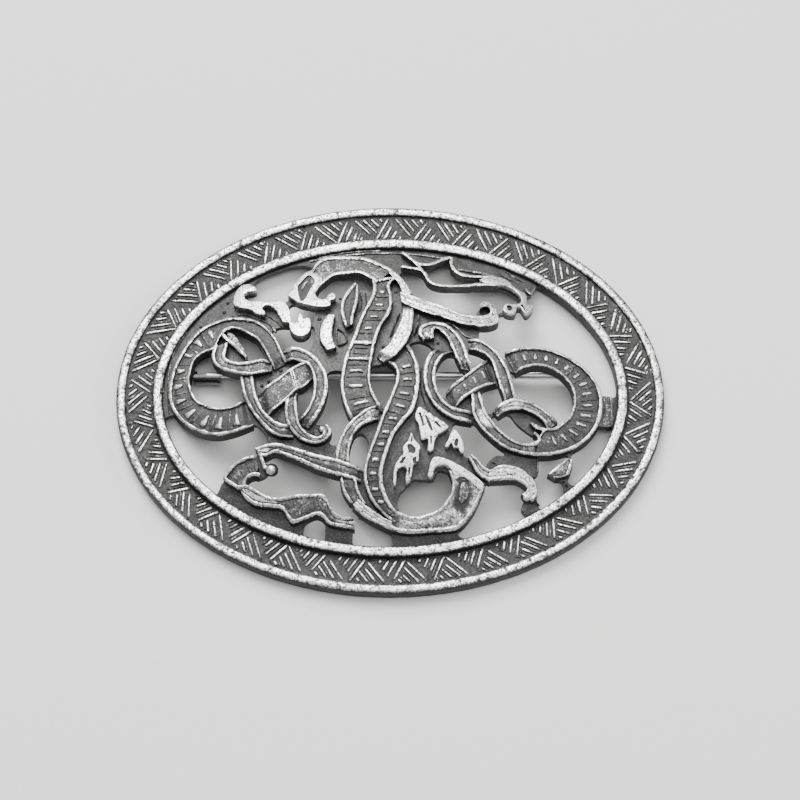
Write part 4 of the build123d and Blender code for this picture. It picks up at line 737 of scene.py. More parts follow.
def ridge(bm, points, width, top, foot, polish=None):
    """Round-topped ridge along places of the field, from a top depth down to a foot depth."""
    rows = [Vector(row) for row in smooth_rows([tuple(place(*p)) for p in points], 0.22)]
    if polish is None:
        polish = 1.0 if top < 0.1 else 0.45
    rings = []
    for i, spot in enumerate(rows):
        run = rows[min(i + 1, len(rows) - 1)] - rows[max(i - 1, 0)]
        side = Vector((-run.y, run.x)).normalized() * width / 2
        side *= 1 + roughen(spot.x, spot.y, 7, 0.5, 0.5)
        end = smooth(1.0 - min(i, len(rows) - 1 - i) / 2.0) * 0.08
        rings.append([
            (on_dome(spot + side * across, min(foot, top + down + end
                                               + roughen(spot.x, spot.y, across, 0.4, 0.05))),
             polish * glow)
            for across, down, glow in ((1, foot, 0), (1, 0.2, 0.3), (0.75, 0.06, 0.9), (0, 0, 1),
                                       (-0.75, 0.06, 0.9), (-1, 0.2, 0.3), (-1, foot, 0))])
    tube(bm, rings)


def floor_patch(spot, polish):
    """Rise and polish of a band's floor at a place, where a patch fills or sinks it."""
    lift = 0.0
    for x, y, radius, rise, bright in FLOOR_PATCHES:
        share = smooth(2.6 * (1 - (spot - place(x, y)).length / radius))
        lift += (rise - lift) * share
        polish += (bright - polish) * share
    return lift, polish


def band_stations(rows):
    """Places of both beads along a band, close together, with the length walked so far."""
    stations = smooth_rows([(*place(*row[:2]), *place(*row[2:])) for row in rows], 0.25)
    walked = [0.0]
    for one, other in zip(stations, stations[1:]):
        walked.append(walked[-1] + math.dist([(a + b) / 2 for a, b in zip(one[:2], one[2:])],
                                             [(a + b) / 2 for a, b in zip(other[:2], other[2:])]))
    return stations, walked


def band_rings(rows, first_dives, last_dives, floor, floor_polish, left_bead, right_bead):
    """Sections of a band: a bead along each edge and a channel between them."""
    stations, walked = band_stations(rows)
    rings = []
    for station, along in zip(stations, walked):
        left, right = Vector(station[:2]), Vector(station[2:])
        out = left - right
        half = out.length / 2
        out.normalize()
        room = min(1.0, half / 0.34)
        dive = 0.5 * max(first_dives * smooth(1 - along / 0.9),
                         last_dives * smooth(1 - (walked[-1] - along) / 0.9))
        halves = []
        for edge, way, bead in ((left, out, left_bead), (right, -out, right_bead)):
            uneven = roughen(edge.x, edge.y, 3, 0.6, 0.45) + roughen(edge.x, edge.y, 5, 0.22, 0.25)
            grown = bead * (1 + uneven)
            dull = roughen(edge.x, edge.y, 9, 1.3, 0.35)
            wall = edge + way * BEAD_SECTION[0][0]
            side = [(on_dome(wall, FOOT_DEPTH), 0.0)]
            for off, down, polish in BEAD_SECTION:
                if off < 0:
                    off *= room * grown
                    polish = max(polish, floor_polish) if down < 0.3 else floor_polish
                    down = min(down, floor) * room
                else:
                    off *= min(grown, 1.15)
                spot = edge + way * off
                wave = roughen(spot.x, spot.y, 0, 0.4, 0.07) + 0.035
                side.append((on_dome(spot, down + dive + wave),
                             polish * (1 - 1.1 * dive) - max(0, dull) * polish))
            halves.append(side)
        floor_row = []
        inset = min(0.45, 0.27 / (2 * half))
        for i in range(FLOOR_POINTS):
            share = inset + (1 - 2 * inset) * i / (FLOOR_POINTS - 1)
            spot = left + (right - left) * share
            rise = 0.05 * (1 - abs(share - 0.5) * 4) + roughen(spot.x, spot.y, 13, 0.4, 0.06)
            lift, polish = floor_patch(spot, floor_polish)
            down = max(0.04, floor - rise - lift)
            floor_row.append((on_dome(spot, down * room + dive), polish))
        rings.append(halves[0] + floor_row + halves[1][::-1])
    return rings


def set_relief(bm, height_share):
    """Gives each vertex that has no polish yet the one that its height asks for."""
    layer = relief_layer(bm)
    for vert in bm.verts:
        if vert[layer] == 0.0:
            vert[layer] = height_share(vert.co)


def field_relief(spot):
    """1 at the tops of the beads and 0 at the floors of the channels and below."""
    depth = dome_height(spot.x, spot.y) - spot.z
    return 1.0 - smooth((depth - 0.02) / 0.3)


def border_relief(spot):
    """1 at the tops of the rim, the ring and the hatching, and 0 on the border's floor."""
    out = math.hypot(spot.x / (FIELD_A + RIM_REACH), spot.y / (FIELD_B + RIM_REACH))
    inside = math.hypot(spot.x / (FIELD_A + RING_REACH), spot.y / (FIELD_B + RING_REACH))
    if out > 1.0:
        top = RIM_HEIGHT
    elif inside < 1.0:
        top = RING_HEIGHT
    else:
        top = BORDER_FLOOR + HATCH_RISE
    fine_spots = max(0.0, roughen(spot.x, spot.y, 21, 0.45, 1.1))
    dull = fine_spots + max(0.0, roughen(spot.x, spot.y, 31, 2.2, 0.6))
    return (1.0 - 0.75 * min(1.0, dull)) * (1.0 - smooth((top - spot.z - 0.02) / 0.2))


def finish_piece(bm, name, material, relief, sharp=40.0):
    """Makes the mesh an object in metres that stands for the casting."""
    bmesh.ops.recalc_face_normals(bm, faces=bm.faces)
    set_relief(bm, relief)
    for face in bm.faces:
        face.smooth = True
    bmesh.ops.scale(bm, vec=(MM, MM, MM), verts=bm.verts)
    mesh = bpy.data.meshes.new(name)
    bm.to_mesh(mesh)
    bm.free()
    mesh.set_sharp_from_angle(angle=math.radians(sharp))
    mesh.materials.append(material)
    piece = bpy.data.objects.new(name, mesh)
    bpy.context.scene.collection.objects.link(piece)
    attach(piece, "brooch")
    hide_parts("cast_plate")
    return piece


def as_object(bm, name):
    """A plain object of the mesh, for use as one side of a cut."""
    bmesh.ops.recalc_face_normals(bm, faces=bm.faces)
    mesh = bpy.data.meshes.new(name)
    bm.to_mesh(mesh)
    bm.free()
    made = bpy.data.objects.new(name, mesh)
    bpy.context.scene.collection.objects.link(made)
    return made


def cut(piece, tool, operation):
    """Applies one cut to the piece and removes the tool."""
    modifier = piece.modifiers.new("cut", "BOOLEAN")
    modifier.solver = "MANIFOLD"
    modifier.operation = operation
    modifier.object = tool
    view_layer = bpy.context.view_layer
    view_layer.update()
    shaped = piece.evaluated_get(bpy.context.evaluated_depsgraph_get())
    mesh = bpy.data.meshes.new_from_object(shaped)
    piece.modifiers.clear()
    piece.data = mesh
    bpy.data.objects.remove(tool)


def taken(piece):
    """The object's mesh as a bmesh; the object goes."""
    bm = bmesh.new()
    bm.from_mesh(piece.data)
    bpy.data.objects.remove(piece)
    return bm


def upright(points, low, high):
    """Straight prism inside a closed line."""
    bm = bmesh.new()
    slab(bm, points, lambda p: high, lambda p: low)
    return as_object(bm, "tool")


def hollow(points):
    """Tool for a shallow hollow whose floor follows the dome."""
    bm = bmesh.new()
    slab(bm, points, lambda p: CROWN_HEIGHT + 1, lambda p: dome_height(p.x, p.y, HOLLOW_DEPTH))
    return as_object(bm, "tool")


def rod(start, axis, radius, length):
    """Tool for a round bore that begins at a place and runs along an axis."""
    bm = bmesh.new()
    turn = Vector(axis).to_track_quat("Z", "Y").to_matrix().to_4x4()
    middle = Vector(start) + Vector(axis) * length / 2
    bmesh.ops.create_cone(
        bm, cap_ends=True, segments=48, radius1=radius, radius2=radius, depth=length,
        matrix=Matrix.Translation(middle) @ turn)
    return as_object(bm, "tool")


def oval_points(a, b, count=240):
    """Places round an ellipse."""
    return [Vector((a * math.cos(math.tau * i / count), b * math.sin(math.tau * i / count)))
            for i in range(count)]


# Shader building
def node(tree, kind, **values):
    """A node with values set on its inputs by name, and properties by lower-case name."""
    made = tree.nodes.new(kind)
    for key, value in values.items():
        if hasattr(made, key):
            setattr(made, key, value)
        else:
            made.inputs[key.replace("_", " ")].default_value = value
    return made


def ranged(tree, value, low, high, to_low=0.0, to_high=1.0, eased=False):
    """A node that maps a value from one range to another, between 0 and 1 unless said."""
    made = node(tree, "ShaderNodeMapRange", interpolation_type="SMOOTHSTEP" if eased else "LINEAR",
                From_Min=low, From_Max=high, To_Min=to_low, To_Max=to_high)
    tree.links.new(value, made.inputs["Value"])
    return made


def scaled_sum(tree, value, factor, added):
    """A node that gives value times factor plus added; factor is a number or a socket."""
    made = node(tree, "ShaderNodeMath", operation="MULTIPLY_ADD")
    tree.links.new(value, made.inputs[0])
    if isinstance(factor, float):
        made.inputs[1].default_value = factor
    else:
        tree.links.new(factor, made.inputs[1])
    tree.links.new(added, made.inputs[2])
    return made


def wear_group():
    """Group that turns relief and object position into polish, tint and grain."""
    if "worn_relief" in bpy.data.node_groups:
        return bpy.data.node_groups["worn_relief"]
    tree = bpy.data.node_groups.new("worn_relief", "ShaderNodeTree")
    for name, kind, value in (
        ("Relief", "NodeSocketFloat", 1.0), ("Polished", "NodeSocketColor", (0.8, 0.8, 0.8, 1)),
        ("Patina", "NodeSocketColor", (0.15, 0.15, 0.15, 1)), ("Grain Scale", "NodeSocketFloat", 5000.0),
        ("Ragged", "NodeSocketFloat", 0.85), ("Smooth Roughness", "NodeSocketFloat", 0.35),
        ("Dull Roughness", "NodeSocketFloat", 0.6)):
        tree.interface.new_socket(name, in_out="INPUT", socket_type=kind).default_value = value
    for name, kind in (("Color", "NodeSocketColor"), ("Roughness", "NodeSocketFloat"),
                       ("Height", "NodeSocketFloat")):
        tree.interface.new_socket(name, in_out="OUTPUT", socket_type=kind)
    source = tree.nodes.new("NodeGroupInput")
    result = tree.nodes.new("NodeGroupOutput")
    link = tree.links.new
    place_of = node(tree, "ShaderNodeTexCoord")
    grain = node(tree, "ShaderNodeTexNoise", Detail=3.0, Roughness=0.6)
    link(source.outputs["Grain Scale"], grain.inputs["Scale"])
    cloud = node(tree, "ShaderNodeTexNoise", Detail=2.0, Roughness=0.5, Scale=1100.0)
    specks = node(tree, "ShaderNodeTexNoise", Detail=2.0, Roughness=0.5, Scale=4300.0)
    for texture in (grain, cloud, specks):
        link(place_of.outputs["Object"], texture.inputs["Vector"])
    pits = ranged(tree, specks.outputs["Fac"], 0.57, 0.665, eased=True)
    mixed = scaled_sum(tree, cloud.outputs["Fac"], 0.8, grain.outputs["Fac"])
    centred = node(tree, "ShaderNodeMath", operation="SUBTRACT")
    link(mixed.outputs[0], centred.inputs[0])
    centred.inputs[1].default_value = 0.9
    pitted = scaled_sum(tree, pits.outputs["Result"], -0.7, centred.outputs[0])
    ragged = scaled_sum(tree, pitted.outputs[0], source.outputs["Ragged"], source.outputs["Relief"])
    polish = ranged(tree, ragged.outputs[0], 0.3, 0.95, eased=True)
    dented = scaled_sum(tree, pits.outputs["Result"], -0.8, grain.outputs["Fac"])
    paler = ranged(tree, source.outputs["Relief"], 0.0, 0.5, 1.0, 2.4)
    patina = node(tree, "ShaderNodeVectorMath", operation="SCALE")
    link(source.outputs["Patina"], patina.inputs[0])
    link(paler.outputs["Result"], patina.inputs["Scale"])
    tint = node(tree, "ShaderNodeMix", data_type="RGBA")
    link(polish.outputs["Result"], tint.inputs["Factor"])
    link(patina.outputs[0], tint.inputs["A"])
    link(source.outputs["Polished"], tint.inputs["B"])
    shade = ranged(tree, grain.outputs["Fac"], 0.3, 0.7, 0.55, 1.25)
    speckled = node(tree, "ShaderNodeVectorMath", operation="SCALE")
    link(tint.outputs["Result"], speckled.inputs[0])
    link(shade.outputs["Result"], speckled.inputs["Scale"])
    rough = node(tree, "ShaderNodeMix", data_type="FLOAT")
    link(polish.outputs["Result"], rough.inputs["Factor"])
    link(source.outputs["Dull Roughness"], rough.inputs["A"])
    link(source.outputs["Smooth Roughness"], rough.inputs["B"])
    link(speckled.outputs[0], result.inputs["Color"])
    link(rough.outputs["Result"], result.inputs["Roughness"])
    link(dented.outputs[0], result.inputs["Height"])
    return tree


def cast_material(name, sizes, patina_share=1.0, ragged=1.1, grain_scale=5200.0, bump=0.5):
    """Aged pewter: bright where the relief is rubbed, dark and dull in its recesses."""
    if name in bpy.data.materials:
        return bpy.data.materials[name]
    material = bpy.data.materials.new(name)
    material.use_nodes = True
    tree = material.node_tree
    shader = tree.nodes["Principled BSDF"]
    shader.inputs["Metallic"].default_value = 1.0
    wear = tree.nodes.new("ShaderNodeGroup")
    wear.node_tree = wear_group()
    relief = node(tree, "ShaderNodeAttribute", attribute_name="relief")
    link = tree.links.new
    link(relief.outputs["Fac"], wear.inputs["Relief"])
    wear.inputs["Polished"].default_value = (*sizes.polished_color, 1)
    wear.inputs["Patina"].default_value = (*[c * patina_share for c in sizes.patina_color], 1)
    wear.inputs["Grain Scale"].default_value = grain_scale
    wear.inputs["Ragged"].default_value = ragged
    wear.inputs["Smooth Roughness"].default_value = sizes.polished_roughness
    wear.inputs["Dull Roughness"].default_value = sizes.patina_roughness
    dent = node(tree, "ShaderNodeBump", Strength=bump, Distance=0.00008)
    link(wear.outputs["Color"], shader.inputs["Base Color"])
    link(wear.outputs["Roughness"], shader.inputs["Roughness"])
    link(wear.outputs["Height"], dent.inputs["Height"])
    link(dent.outputs["Normal"], shader.inputs["Normal"])
    return material


def steel_material(name, color, roughness, stretch):
    """Drawn or turned steel with fine scratches and faint stains."""
    material = bpy.data.materials.new(name)
    material.use_nodes = True
    tree = material.node_tree
    shader = tree.nodes["Principled BSDF"]
    shader.inputs["Metallic"].default_value = 1.0
    link = tree.links.new
    place_of = node(tree, "ShaderNodeTexCoord")
    mapping = node(tree, "ShaderNodeMapping")
    mapping.inputs["Scale"].default_value = stretch
    link(place_of.outputs["Object"], mapping.inputs["Vector"])
    scratches = node(tree, "ShaderNodeTexNoise", Scale=1.0, Detail=4.0, Roughness=0.6)
    link(mapping.outputs["Vector"], scratches.inputs["Vector"])
    stains = node(tree, "ShaderNodeTexNoise", Scale=700.0, Detail=3.0, Roughness=0.55)
    link(place_of.outputs["Object"], stains.inputs["Vector"])
    tint = node(tree, "ShaderNodeMix", data_type="RGBA")
    tint.inputs["A"].default_value = (*[c * 0.72 for c in color], 1)
    tint.inputs["B"].default_value = (*color, 1)
    spread = ranged(tree, stains.outputs["Fac"], 0.35, 0.6)
    link(spread.outputs["Result"], tint.inputs["Factor"])
    link(tint.outputs["Result"], shader.inputs["Base Color"])
    rough = ranged(tree, scratches.outputs["Fac"], 0.0, 1.0, roughness * 0.7, roughness * 1.4)
    link(rough.outputs["Result"], shader.inputs["Roughness"])
    dent = node(tree, "ShaderNodeBump", Strength=0.25, Distance=0.00002)
    link(scratches.outputs["Fac"], dent.inputs["Height"])
    link(dent.outputs["Normal"], shader.inputs["Normal"])
    return material


class BroochFinish(bpy.types.PropertyGroup):
    """Colours and roughness of the casting."""

    polished_color: bpy.props.FloatVectorProperty(
        name="Polished", description="Colour of the rubbed metal", subtype="COLOR",
        default=(0.78, 0.775, 0.765), min=0, max=1)
    patina_color: bpy.props.FloatVectorProperty(
        name="Patina", description="Colour of the metal in the recesses", subtype="COLOR",
        default=(0.05, 0.0495, 0.049), min=0, max=1)
    polished_roughness: bpy.props.FloatProperty(
        name="Polished Roughness", description="Roughness of the rubbed metal", default=0.36,
        min=0, max=1, subtype="FACTOR")
    patina_roughness: bpy.props.FloatProperty(
        name="Patina Roughness", description="Roughness in the recesses", default=0.6, min=0, max=1,
        subtype="FACTOR")


class BroochStage(bpy.types.PropertyGroup):
    """Camera and light round the brooch."""

    elevation: bpy.props.FloatProperty(
        name="Elevation", description="Camera's angle above the floor", default=math.radians(70),
        subtype="ANGLE")
    distance: bpy.props.FloatProperty(
        name="Distance", description="Camera's distance from the brooch", default=0.35,
        unit="LENGTH")
    aim_right: bpy.props.FloatProperty(
        name="Aim Right", description="How far the camera aims to the right of the centre",
        default=0.00104, unit="LENGTH")
    aim_up: bpy.props.FloatProperty(
        name="Aim Up", description="How far the camera aims above the centre", default=0.00021,
        unit="LENGTH")
    lens: bpy.props.FloatProperty(
        name="Lens", description="Focal length in millimetres", default=148.4)
    floor_color: bpy.props.FloatVectorProperty(
        name="Floor", description="Colour of the floor", subtype="COLOR", default=(0.62, 0.62, 0.61),
        min=0, max=1)


class BROOCH_OT_border(bpy.types.Operator):
    """Makes the rim, the hatched border and the ring round the openwork"""

    bl_idname = "brooch.border"
    bl_label = "Border"

    def execute(self, context):
        bm = bmesh.new()
        profile = [bm.verts.new((FIELD_A + out, 0, height)) for out, height in BORDER_SECTION]
        edges = [bm.edges.new((profile[i - 1], profile[i])) for i in range(len(profile))]
        bmesh.ops.spin(
            bm, geom=profile + edges, cent=(0, 0, 0), axis=(0, 0, 1), angle=math.tau, steps=SPIN_STEPS,
            use_merge=True, use_duplicate=False)
        for vert in bm.verts:
            out = math.hypot(vert.co.x, vert.co.y) - FIELD_A
            vert.co.y *= (FIELD_B + out) / (FIELD_A + out)
            top = smooth((vert.co.z - 0.9) / 0.4)
            vert.co.z += top * roughen(vert.co.x, vert.co.y, 0, 0.28, 0.05)
            vert.co.z += top * roughen(vert.co.x, vert.co.y, 5, 1.1, 0.06)
            pit = roughen(vert.co.x, vert.co.y, 11, 0.42, 1.0)
            vert.co.z -= top * PIT_DEPTH * smooth((pit - 0.42) / 0.15)
            # The border stays inside the size of the casting
            stretch = 1 - 0.02 / FIELD_A * smooth((out - 4.5) / 0.4) * (
                1 + roughen(vert.co.x, vert.co.y, vert.co.z, 0.8, 1.5))
            vert.co.x *= stretch
            vert.co.y *= stretch
        metal = cast_material("cast_border", context.scene.brooch_finish, 1.0, 1.4)
        finish_piece(bm, "hatched_border", metal, border_relief)
        bm = bmesh.new()
        for start, end, width, rise, polish in hatch_lines():
            bar(bm, start, end, width, lambda p: BORDER_FLOOR + rise, rise + 0.1, polish, flare=-0.35)
        weld(bm)
        finish_piece(bm, "hatching", metal, border_relief)
        return {"FINISHED"}


def border_place(along, across):
    """Place on the hatched band: repeats along it, share of its width across it."""
    angle = math.tau * along / HATCH_REPEATS
    out = (across - 0.5) * HATCH_BAND_WIDTH
    normal = Vector((math.cos(angle) * HATCH_B, math.sin(angle) * HATCH_A)).normalized()
    return Vector((HATCH_A * math.cos(angle), HATCH_B * math.sin(angle))) + normal * out


def even_repeats():
    """Repeat numbers that space the hatching evenly by length round the oval."""
    count = 2880
    line = oval_points(HATCH_A, HATCH_B, count)
    walked = [0.0]
    for i in range(count):
        walked.append(walked[-1] + (line[(i + 1) % count] - line[i]).length)
    return [HATCH_REPEATS * length / walked[-1] for length in walked]


def hatch_lines():
    """Ends, width, rise and polish of the parallel lines in the border's zigzag."""
    by_length = even_repeats()
    count = len(by_length) - 1

    def spot(along, across):
        wanted = along % HATCH_REPEATS
        low = bisect_right(by_length, wanted, 0, count) - 1
        share = low + (wanted - by_length[low]) / (by_length[low + 1] - by_length[low])
        return border_place(share / count * HATCH_REPEATS, across)

    lines = []
    for repeat in range(HATCH_REPEATS):
        for k in range(HATCH_LINES):
            length = HATCH_LENGTH * (1 - k / (HATCH_LINES - 0.4))
            for along, across, run, rise in (
                (repeat + 0.87, HATCH_MARGIN, -HATCH_LEAN, 1),
                (repeat + 1.37, 1 - HATCH_MARGIN, HATCH_LEAN - 1, -1)):
                for shift, share, width, height, polish in (
                    (0, 1, HATCH_LINE_WIDTH, HATCH_RISE, 1.0),
                    (HATCH_PITCH / 2, 0.9, FINE_LINE_WIDTH, 0.6 * HATCH_RISE, 0.3)):
                    at = along - HATCH_PITCH * k - shift
                    reach = length * share * (1 + roughen(repeat, k, rise, 0.7, 0.25))
                    lines.append((spot(at, across), spot(at + run * reach, across + rise * reach),
                                  width, height, polish))
    return lines


class BROOCH_OT_ground(bpy.types.Operator):
    """Makes the domed ground between the bands, with its openings cut through"""

    bl_idname = "brooch.ground"
    bl_label = "Ground"

    def execute(self, context):
        bm = bmesh.new()
        long_cells, cross_cells = GROUND_CELLS
        sheet = bmesh.ops.create_grid(
            bm, x_segments=long_cells, y_segments=cross_cells, size=1.0)["verts"]
        for vert in sheet:
            vert.co.x *= FIELD_A + 0.6
            vert.co.y *= FIELD_B + 0.6
            vert.co.z = dome_height(vert.co.x, vert.co.y, OPENWORK_THICKNESS)
        made = bmesh.ops.extrude_face_region(bm, geom=bm.faces[:])["geom"]
        for vert in (item for item in made if isinstance(item, bmesh.types.BMVert)):
            vert.co.z = dome_height(vert.co.x, vert.co.y, GROUND_DEPTH)
            vert.co.z += roughen(vert.co.x, vert.co.y, 0, 0.9, 0.09)
            vert.co.z += roughen(vert.co.x, vert.co.y, 5, 0.45, 0.05)
        ground = as_object(bm, "ground")
        cut(ground, upright(oval_points(FIELD_A + 0.3, FIELD_B + 0.3), -1, 9), "INTERSECT")
        for points in GAPS.values():
            cut(ground, upright(outline_points(points), -1, 9), "DIFFERENCE")
        bm = taken(ground)
        finish_piece(bm, "ground_plate", cast_material("cast_ground", context.scene.brooch_finish, 1.7),
                     field_relief)
        return {"FINISHED"}


class BROOCH_OT_bands(bpy.types.Operator):
    """Makes the interlaced bands with their beads, channels and bars"""

    bl_idname = "brooch.bands"
    bl_label = "Bands"

    def execute(self, context):
        for group, names in BAND_GROUPS.items():
            bm = bmesh.new()
            for name in names:
                tube(bm, band_rings(BANDS[name], *BAND_FORMS[name]))
                for columns in BARS.get(name, []):
                    band_bars(bm, BANDS[name], *columns)
            weld(bm)
            finish_piece(bm, group, cast_material("cast_relief", context.scene.brooch_finish),
                         field_relief)
        return {"FINISHED"}


def band_bars(bm, rows, first, last, count, width, depth, span, shift, flare, polish):
    """Bars across a band, evenly spaced between two shares of its length."""
    stations, walked = band_stations(rows)
    for i in range(count):
        wanted = (first + (last - first) * i / (count - 1)) * walked[-1]
        at = bisect_left(walked, wanted)
        left, right = Vector(stations[at][:2]), Vector(stations[at][2:])
        middle = (left + right) / 2 + (right - left) * shift
        reach = (right - left) / 2 * span
        bar(bm, middle - reach, middle + reach, width, lambda p: dome_height(p.x, p.y, depth), 0.5,
            polish, flare)


class BROOCH_OT_heads(bpy.types.Operator):
    """Makes the heads, feet, leaves, round ends and raised lines"""

    bl_idname = "brooch.heads"
    bl_label = "Heads and Leaves"

    def execute(self, context):
        bm = bmesh.new()
        for points in SHAPES.values():
            slab(bm, outline_points(points), lambda p: dome_height(p.x, p.y),
                 lambda p: dome_height(p.x, p.y, FOOT_DEPTH), bevel=0.12)
        heads = as_object(bm, "heads")
        for points in HOLLOWS.values():
            cut(heads, hollow(outline_points(points)), "DIFFERENCE")
        bm = taken(heads)
        finish_piece(bm, "heads_and_leaves",
                     cast_material("cast_relief", context.scene.brooch_finish), field_relief, 25.0)
        bm = bmesh.new()
        for points in LINES.values():
            ridge(bm, points, 0.38, 0.02, FOOT_DEPTH)
        for width, top, points in RIDGES:
            ridge(bm, points, width, top, top + 0.35)
        weld(bm)
        layer = relief_layer(bm)
        for depth, polish, points in PLATES.values():
            known = set(bm.verts)
            slab(bm, outline_points(points), lambda p: dome_height(p.x, p.y, depth),
                 lambda p: dome_height(p.x, p.y, FOOT_DEPTH), bevel=0.08)
            for vert in bm.verts:
                if vert not in known:
                    vert[layer] = polish
        for x, y, diameter, depth in BALLS:
            spot = on_dome(place(x, y), depth + diameter / 2)
            bmesh.ops.create_icosphere(bm, subdivisions=3, radius=diameter / 2,
                                       matrix=Matrix.Translation(spot))
        for x, y, diameter, depth in BUBBLES:
            spot = on_dome(place(x, y), depth + diameter / 2)
            bmesh.ops.create_icosphere(bm, subdivisions=2, radius=diameter / 2,
                                       matrix=Matrix.Translation(spot))
        finish_piece(bm, "lines_and_bubbles",
                     cast_material("cast_relief", context.scene.brooch_finish), field_relief)
        return {"FINISHED"}


class BROOCH_OT_fittings(bpy.types.Operator):
    """Makes the hinge's ears and the catch's lug on the back, and finishes the moving parts"""

    bl_idname = "brooch.fittings"
    bl_label = "Fittings"

    def execute(self, context):
        bm = bmesh.new()
        root = dome_height(HINGE_LINE, PIN_LINE, OPENWORK_THICKNESS) + 0.4
        for side in (-1, 1):
            footed_plate(bm, 1, PIN_LINE + side * EAR_GAP / 2, side * EAR_THICKNESS, HINGE_LINE,
                         EAR_RADIUS, root)
        lug_low = LUG_LINE - LUG_LENGTH / 2
        root = dome_height(lug_low, CATCH_LINE, OPENWORK_THICKNESS) + 0.3
        footed_plate(bm, 0, lug_low, LUG_LENGTH, CATCH_LINE, LUG_RADIUS, root)
        blank = as_object(bm, "blank")
        hinge_start = (HINGE_LINE, PIN_LINE - 1, PIN_HEIGHT)
        catch_start = (lug_low - 0.1, CATCH_LINE, PIN_HEIGHT)
        for start, axis, radius, length in (
            (hinge_start, (0, 1, 0), RIVET_HOLE_RADIUS, 2.0),
            (catch_start, (1, 0, 0), JOURNAL_HOLE_RADIUS, 1.2),
            (catch_start, (1, 0, 0), JOURNAL_HEAD_RADIUS, JOURNAL_HEAD_DEPTH + 0.1)):
            cut(blank, rod(start, axis, radius, length), "DIFFERENCE")
        bm = taken(blank)
        finish_piece(bm, "ears_and_lug", cast_material("cast_ground", context.scene.brooch_finish, 1.7),
                     lambda p: 0.35)
        along = steel_material("pin_steel", (0.95, 0.95, 0.94), 0.34, (300, 9000, 9000))
        # The rivet and the catch get steel darkened to a base of 0.13, far below the pin's: painted shade
        # for the shade they lie in under the openwork.
        turned = steel_material("catch_metal", (0.13, 0.13, 0.13), 0.24, (9000, 2500, 2500))
        for name, material in (("pin_stem", along), ("hinge_rivet", turned), ("catch_barrel", turned)):
            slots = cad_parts[name].data.materials
            slots.clear()
            slots.append(material)
        return {"FINISHED"}


def footed_plate(bm, axis, start, thickness, middle, radius, root):
    """A plate on the back with a round foot round the pin's height, rooted in the openwork.

    axis is the one that its thickness runs along from start, 0 for x and 1 for y; middle is its
    place on the other one, and root the height of its flat end.
    """
    line = [(middle - radius, root), (middle + radius, root)]
    for i in range(ARC_STEPS + 1):
        turn = math.pi * i / ARC_STEPS
        line.append((middle + radius * math.cos(turn), PIN_HEIGHT - radius * math.sin(turn)))
    sides = [[bm.verts.new((across, at, z) if axis else (at, across, z)) for across, z in line]
             for at in (start, start + thickness)]
    close_between(bm, *sides)


class BROOCH_OT_stage(bpy.types.Operator):
    """Makes the pale floor, the soft lights and the camera"""

    bl_idname = "brooch.stage"
    bl_label = "Stage"

    def execute(self, context):
        stage = context.scene.brooch_stage
        bm = bmesh.new()
        bmesh.ops.create_grid(bm, x_segments=2, y_segments=2, size=2.0)
        mesh = bpy.data.meshes.new("floor")
        bm.to_mesh(mesh)
        bm.free()
        floor = bpy.data.objects.new("floor", mesh)
        context.scene.collection.objects.link(floor)
        mesh.materials.append(floor_material(stage.floor_color))

        data = bpy.data.cameras.new("camera")
        data.sensor_width = 36.0
        data.lens = stage.lens
        data.clip_start = 0.01
        data.clip_end = 20.0
        camera = bpy.data.objects.new("camera", data)
        tilt = math.pi / 2 - stage.elevation
        back = Vector((0, -math.sin(tilt), math.cos(tilt)))
        up = Vector((0, math.cos(tilt), math.sin(tilt)))
        camera.location = back * stage.distance + up * stage.aim_up + Vector((stage.aim_right, 0, 0))
        camera.rotation_euler = (tilt, 0, 0)
        context.scene.collection.objects.link(camera)
        context.scene.camera = camera

        for name, spot, size, energy in LAMPS:
            lamp = bpy.data.lights.new(name, "AREA")
            lamp.shape = "SQUARE"
            lamp.size = size
            lamp.energy = energy
            light = bpy.data.objects.new(name, lamp)
            light.location = spot
            light.rotation_euler = (-Vector(spot)).to_track_quat("-Z", "Y").to_euler()
            context.scene.collection.objects.link(light)
        world = bpy.data.worlds.new("soft_room")
        world.use_nodes = True
        world.node_tree.nodes["Background"].inputs["Color"].default_value = (0.9, 0.92, 0.95, 1)
        world.node_tree.nodes["Background"].inputs["Strength"].default_value = 0.36
        context.scene.world = world
        return {"FINISHED"}


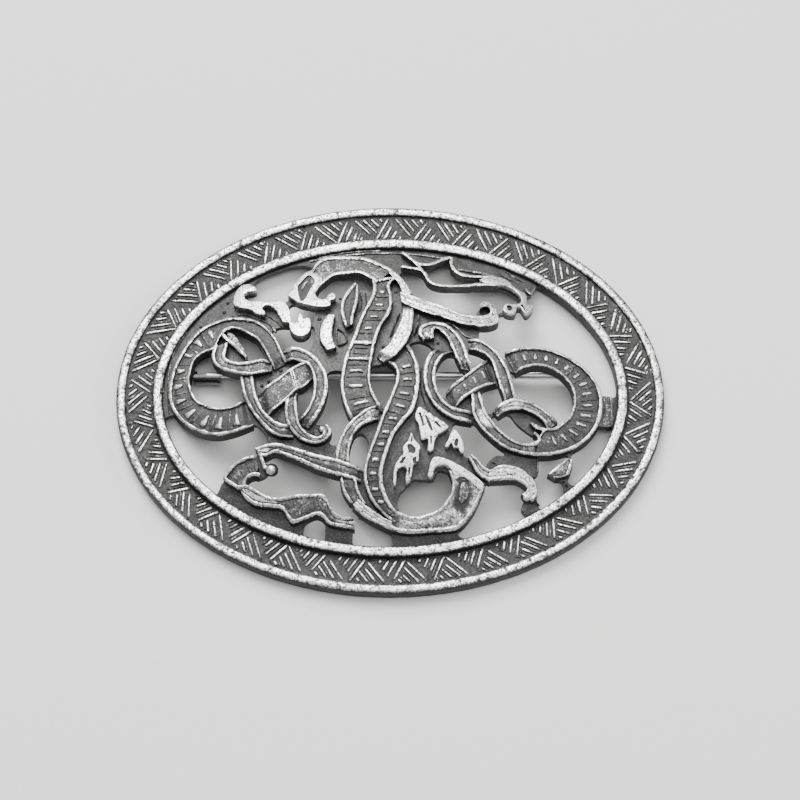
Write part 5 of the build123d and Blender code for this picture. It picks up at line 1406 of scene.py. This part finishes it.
def floor_material(color):
    """Plain pale card with a faint tooth."""
    material = bpy.data.materials.new("floor")
    material.use_nodes = True
    tree = material.node_tree
    shader = tree.nodes["Principled BSDF"]
    shader.inputs["Base Color"].default_value = (*color, 1)
    shader.inputs["Roughness"].default_value = 0.85
    place_of = node(tree, "ShaderNodeTexCoord")
    tooth = node(tree, "ShaderNodeTexNoise", Scale=1500.0, Detail=3.0)
    tree.links.new(place_of.outputs["Object"], tooth.inputs["Vector"])
    dent = node(tree, "ShaderNodeBump", Strength=0.15, Distance=0.0002)
    tree.links.new(tooth.outputs["Fac"], dent.inputs["Height"])
    tree.links.new(dent.outputs["Normal"], shader.inputs["Normal"])
    return material


class BROOCH_PT_panel(bpy.types.Panel):
    """Lists the steps and the settings"""

    bl_idname = "BROOCH_PT_panel"
    bl_label = "Brooch"
    bl_space_type = "VIEW_3D"
    bl_region_type = "UI"
    bl_category = "Brooch"

    def draw(self, context):
        for settings in (context.scene.brooch_finish, context.scene.brooch_stage):
            for name in settings.bl_rna.properties.keys():
                if name not in ("rna_type", "name"):
                    self.layout.prop(settings, name)
        for step in STEPS:
            self.layout.operator(step.bl_idname)


STEPS = (BROOCH_OT_stage, BROOCH_OT_border, BROOCH_OT_ground, BROOCH_OT_bands, BROOCH_OT_heads,
         BROOCH_OT_fittings)
CLASSES = (BroochFinish, BroochStage, *STEPS, BROOCH_PT_panel)


def register():
    """Registers the classes and puts the settings on the scene."""
    for cls in CLASSES:
        bpy.utils.register_class(cls)
    bpy.types.Scene.brooch_finish = bpy.props.PointerProperty(type=BroochFinish)
    bpy.types.Scene.brooch_stage = bpy.props.PointerProperty(type=BroochStage)


def unregister():
    """Takes the settings and the classes away again."""
    del bpy.types.Scene.brooch_stage
    del bpy.types.Scene.brooch_finish
    for cls in reversed(CLASSES):
        bpy.utils.unregister_class(cls)


def main():
    """Makes every piece."""
    register()
    bpy.ops.brooch.stage()
    bpy.ops.brooch.border()
    bpy.ops.brooch.ground()
    bpy.ops.brooch.bands()
    bpy.ops.brooch.heads()
    bpy.ops.brooch.fittings()


if __name__ == "__main__":
    main()
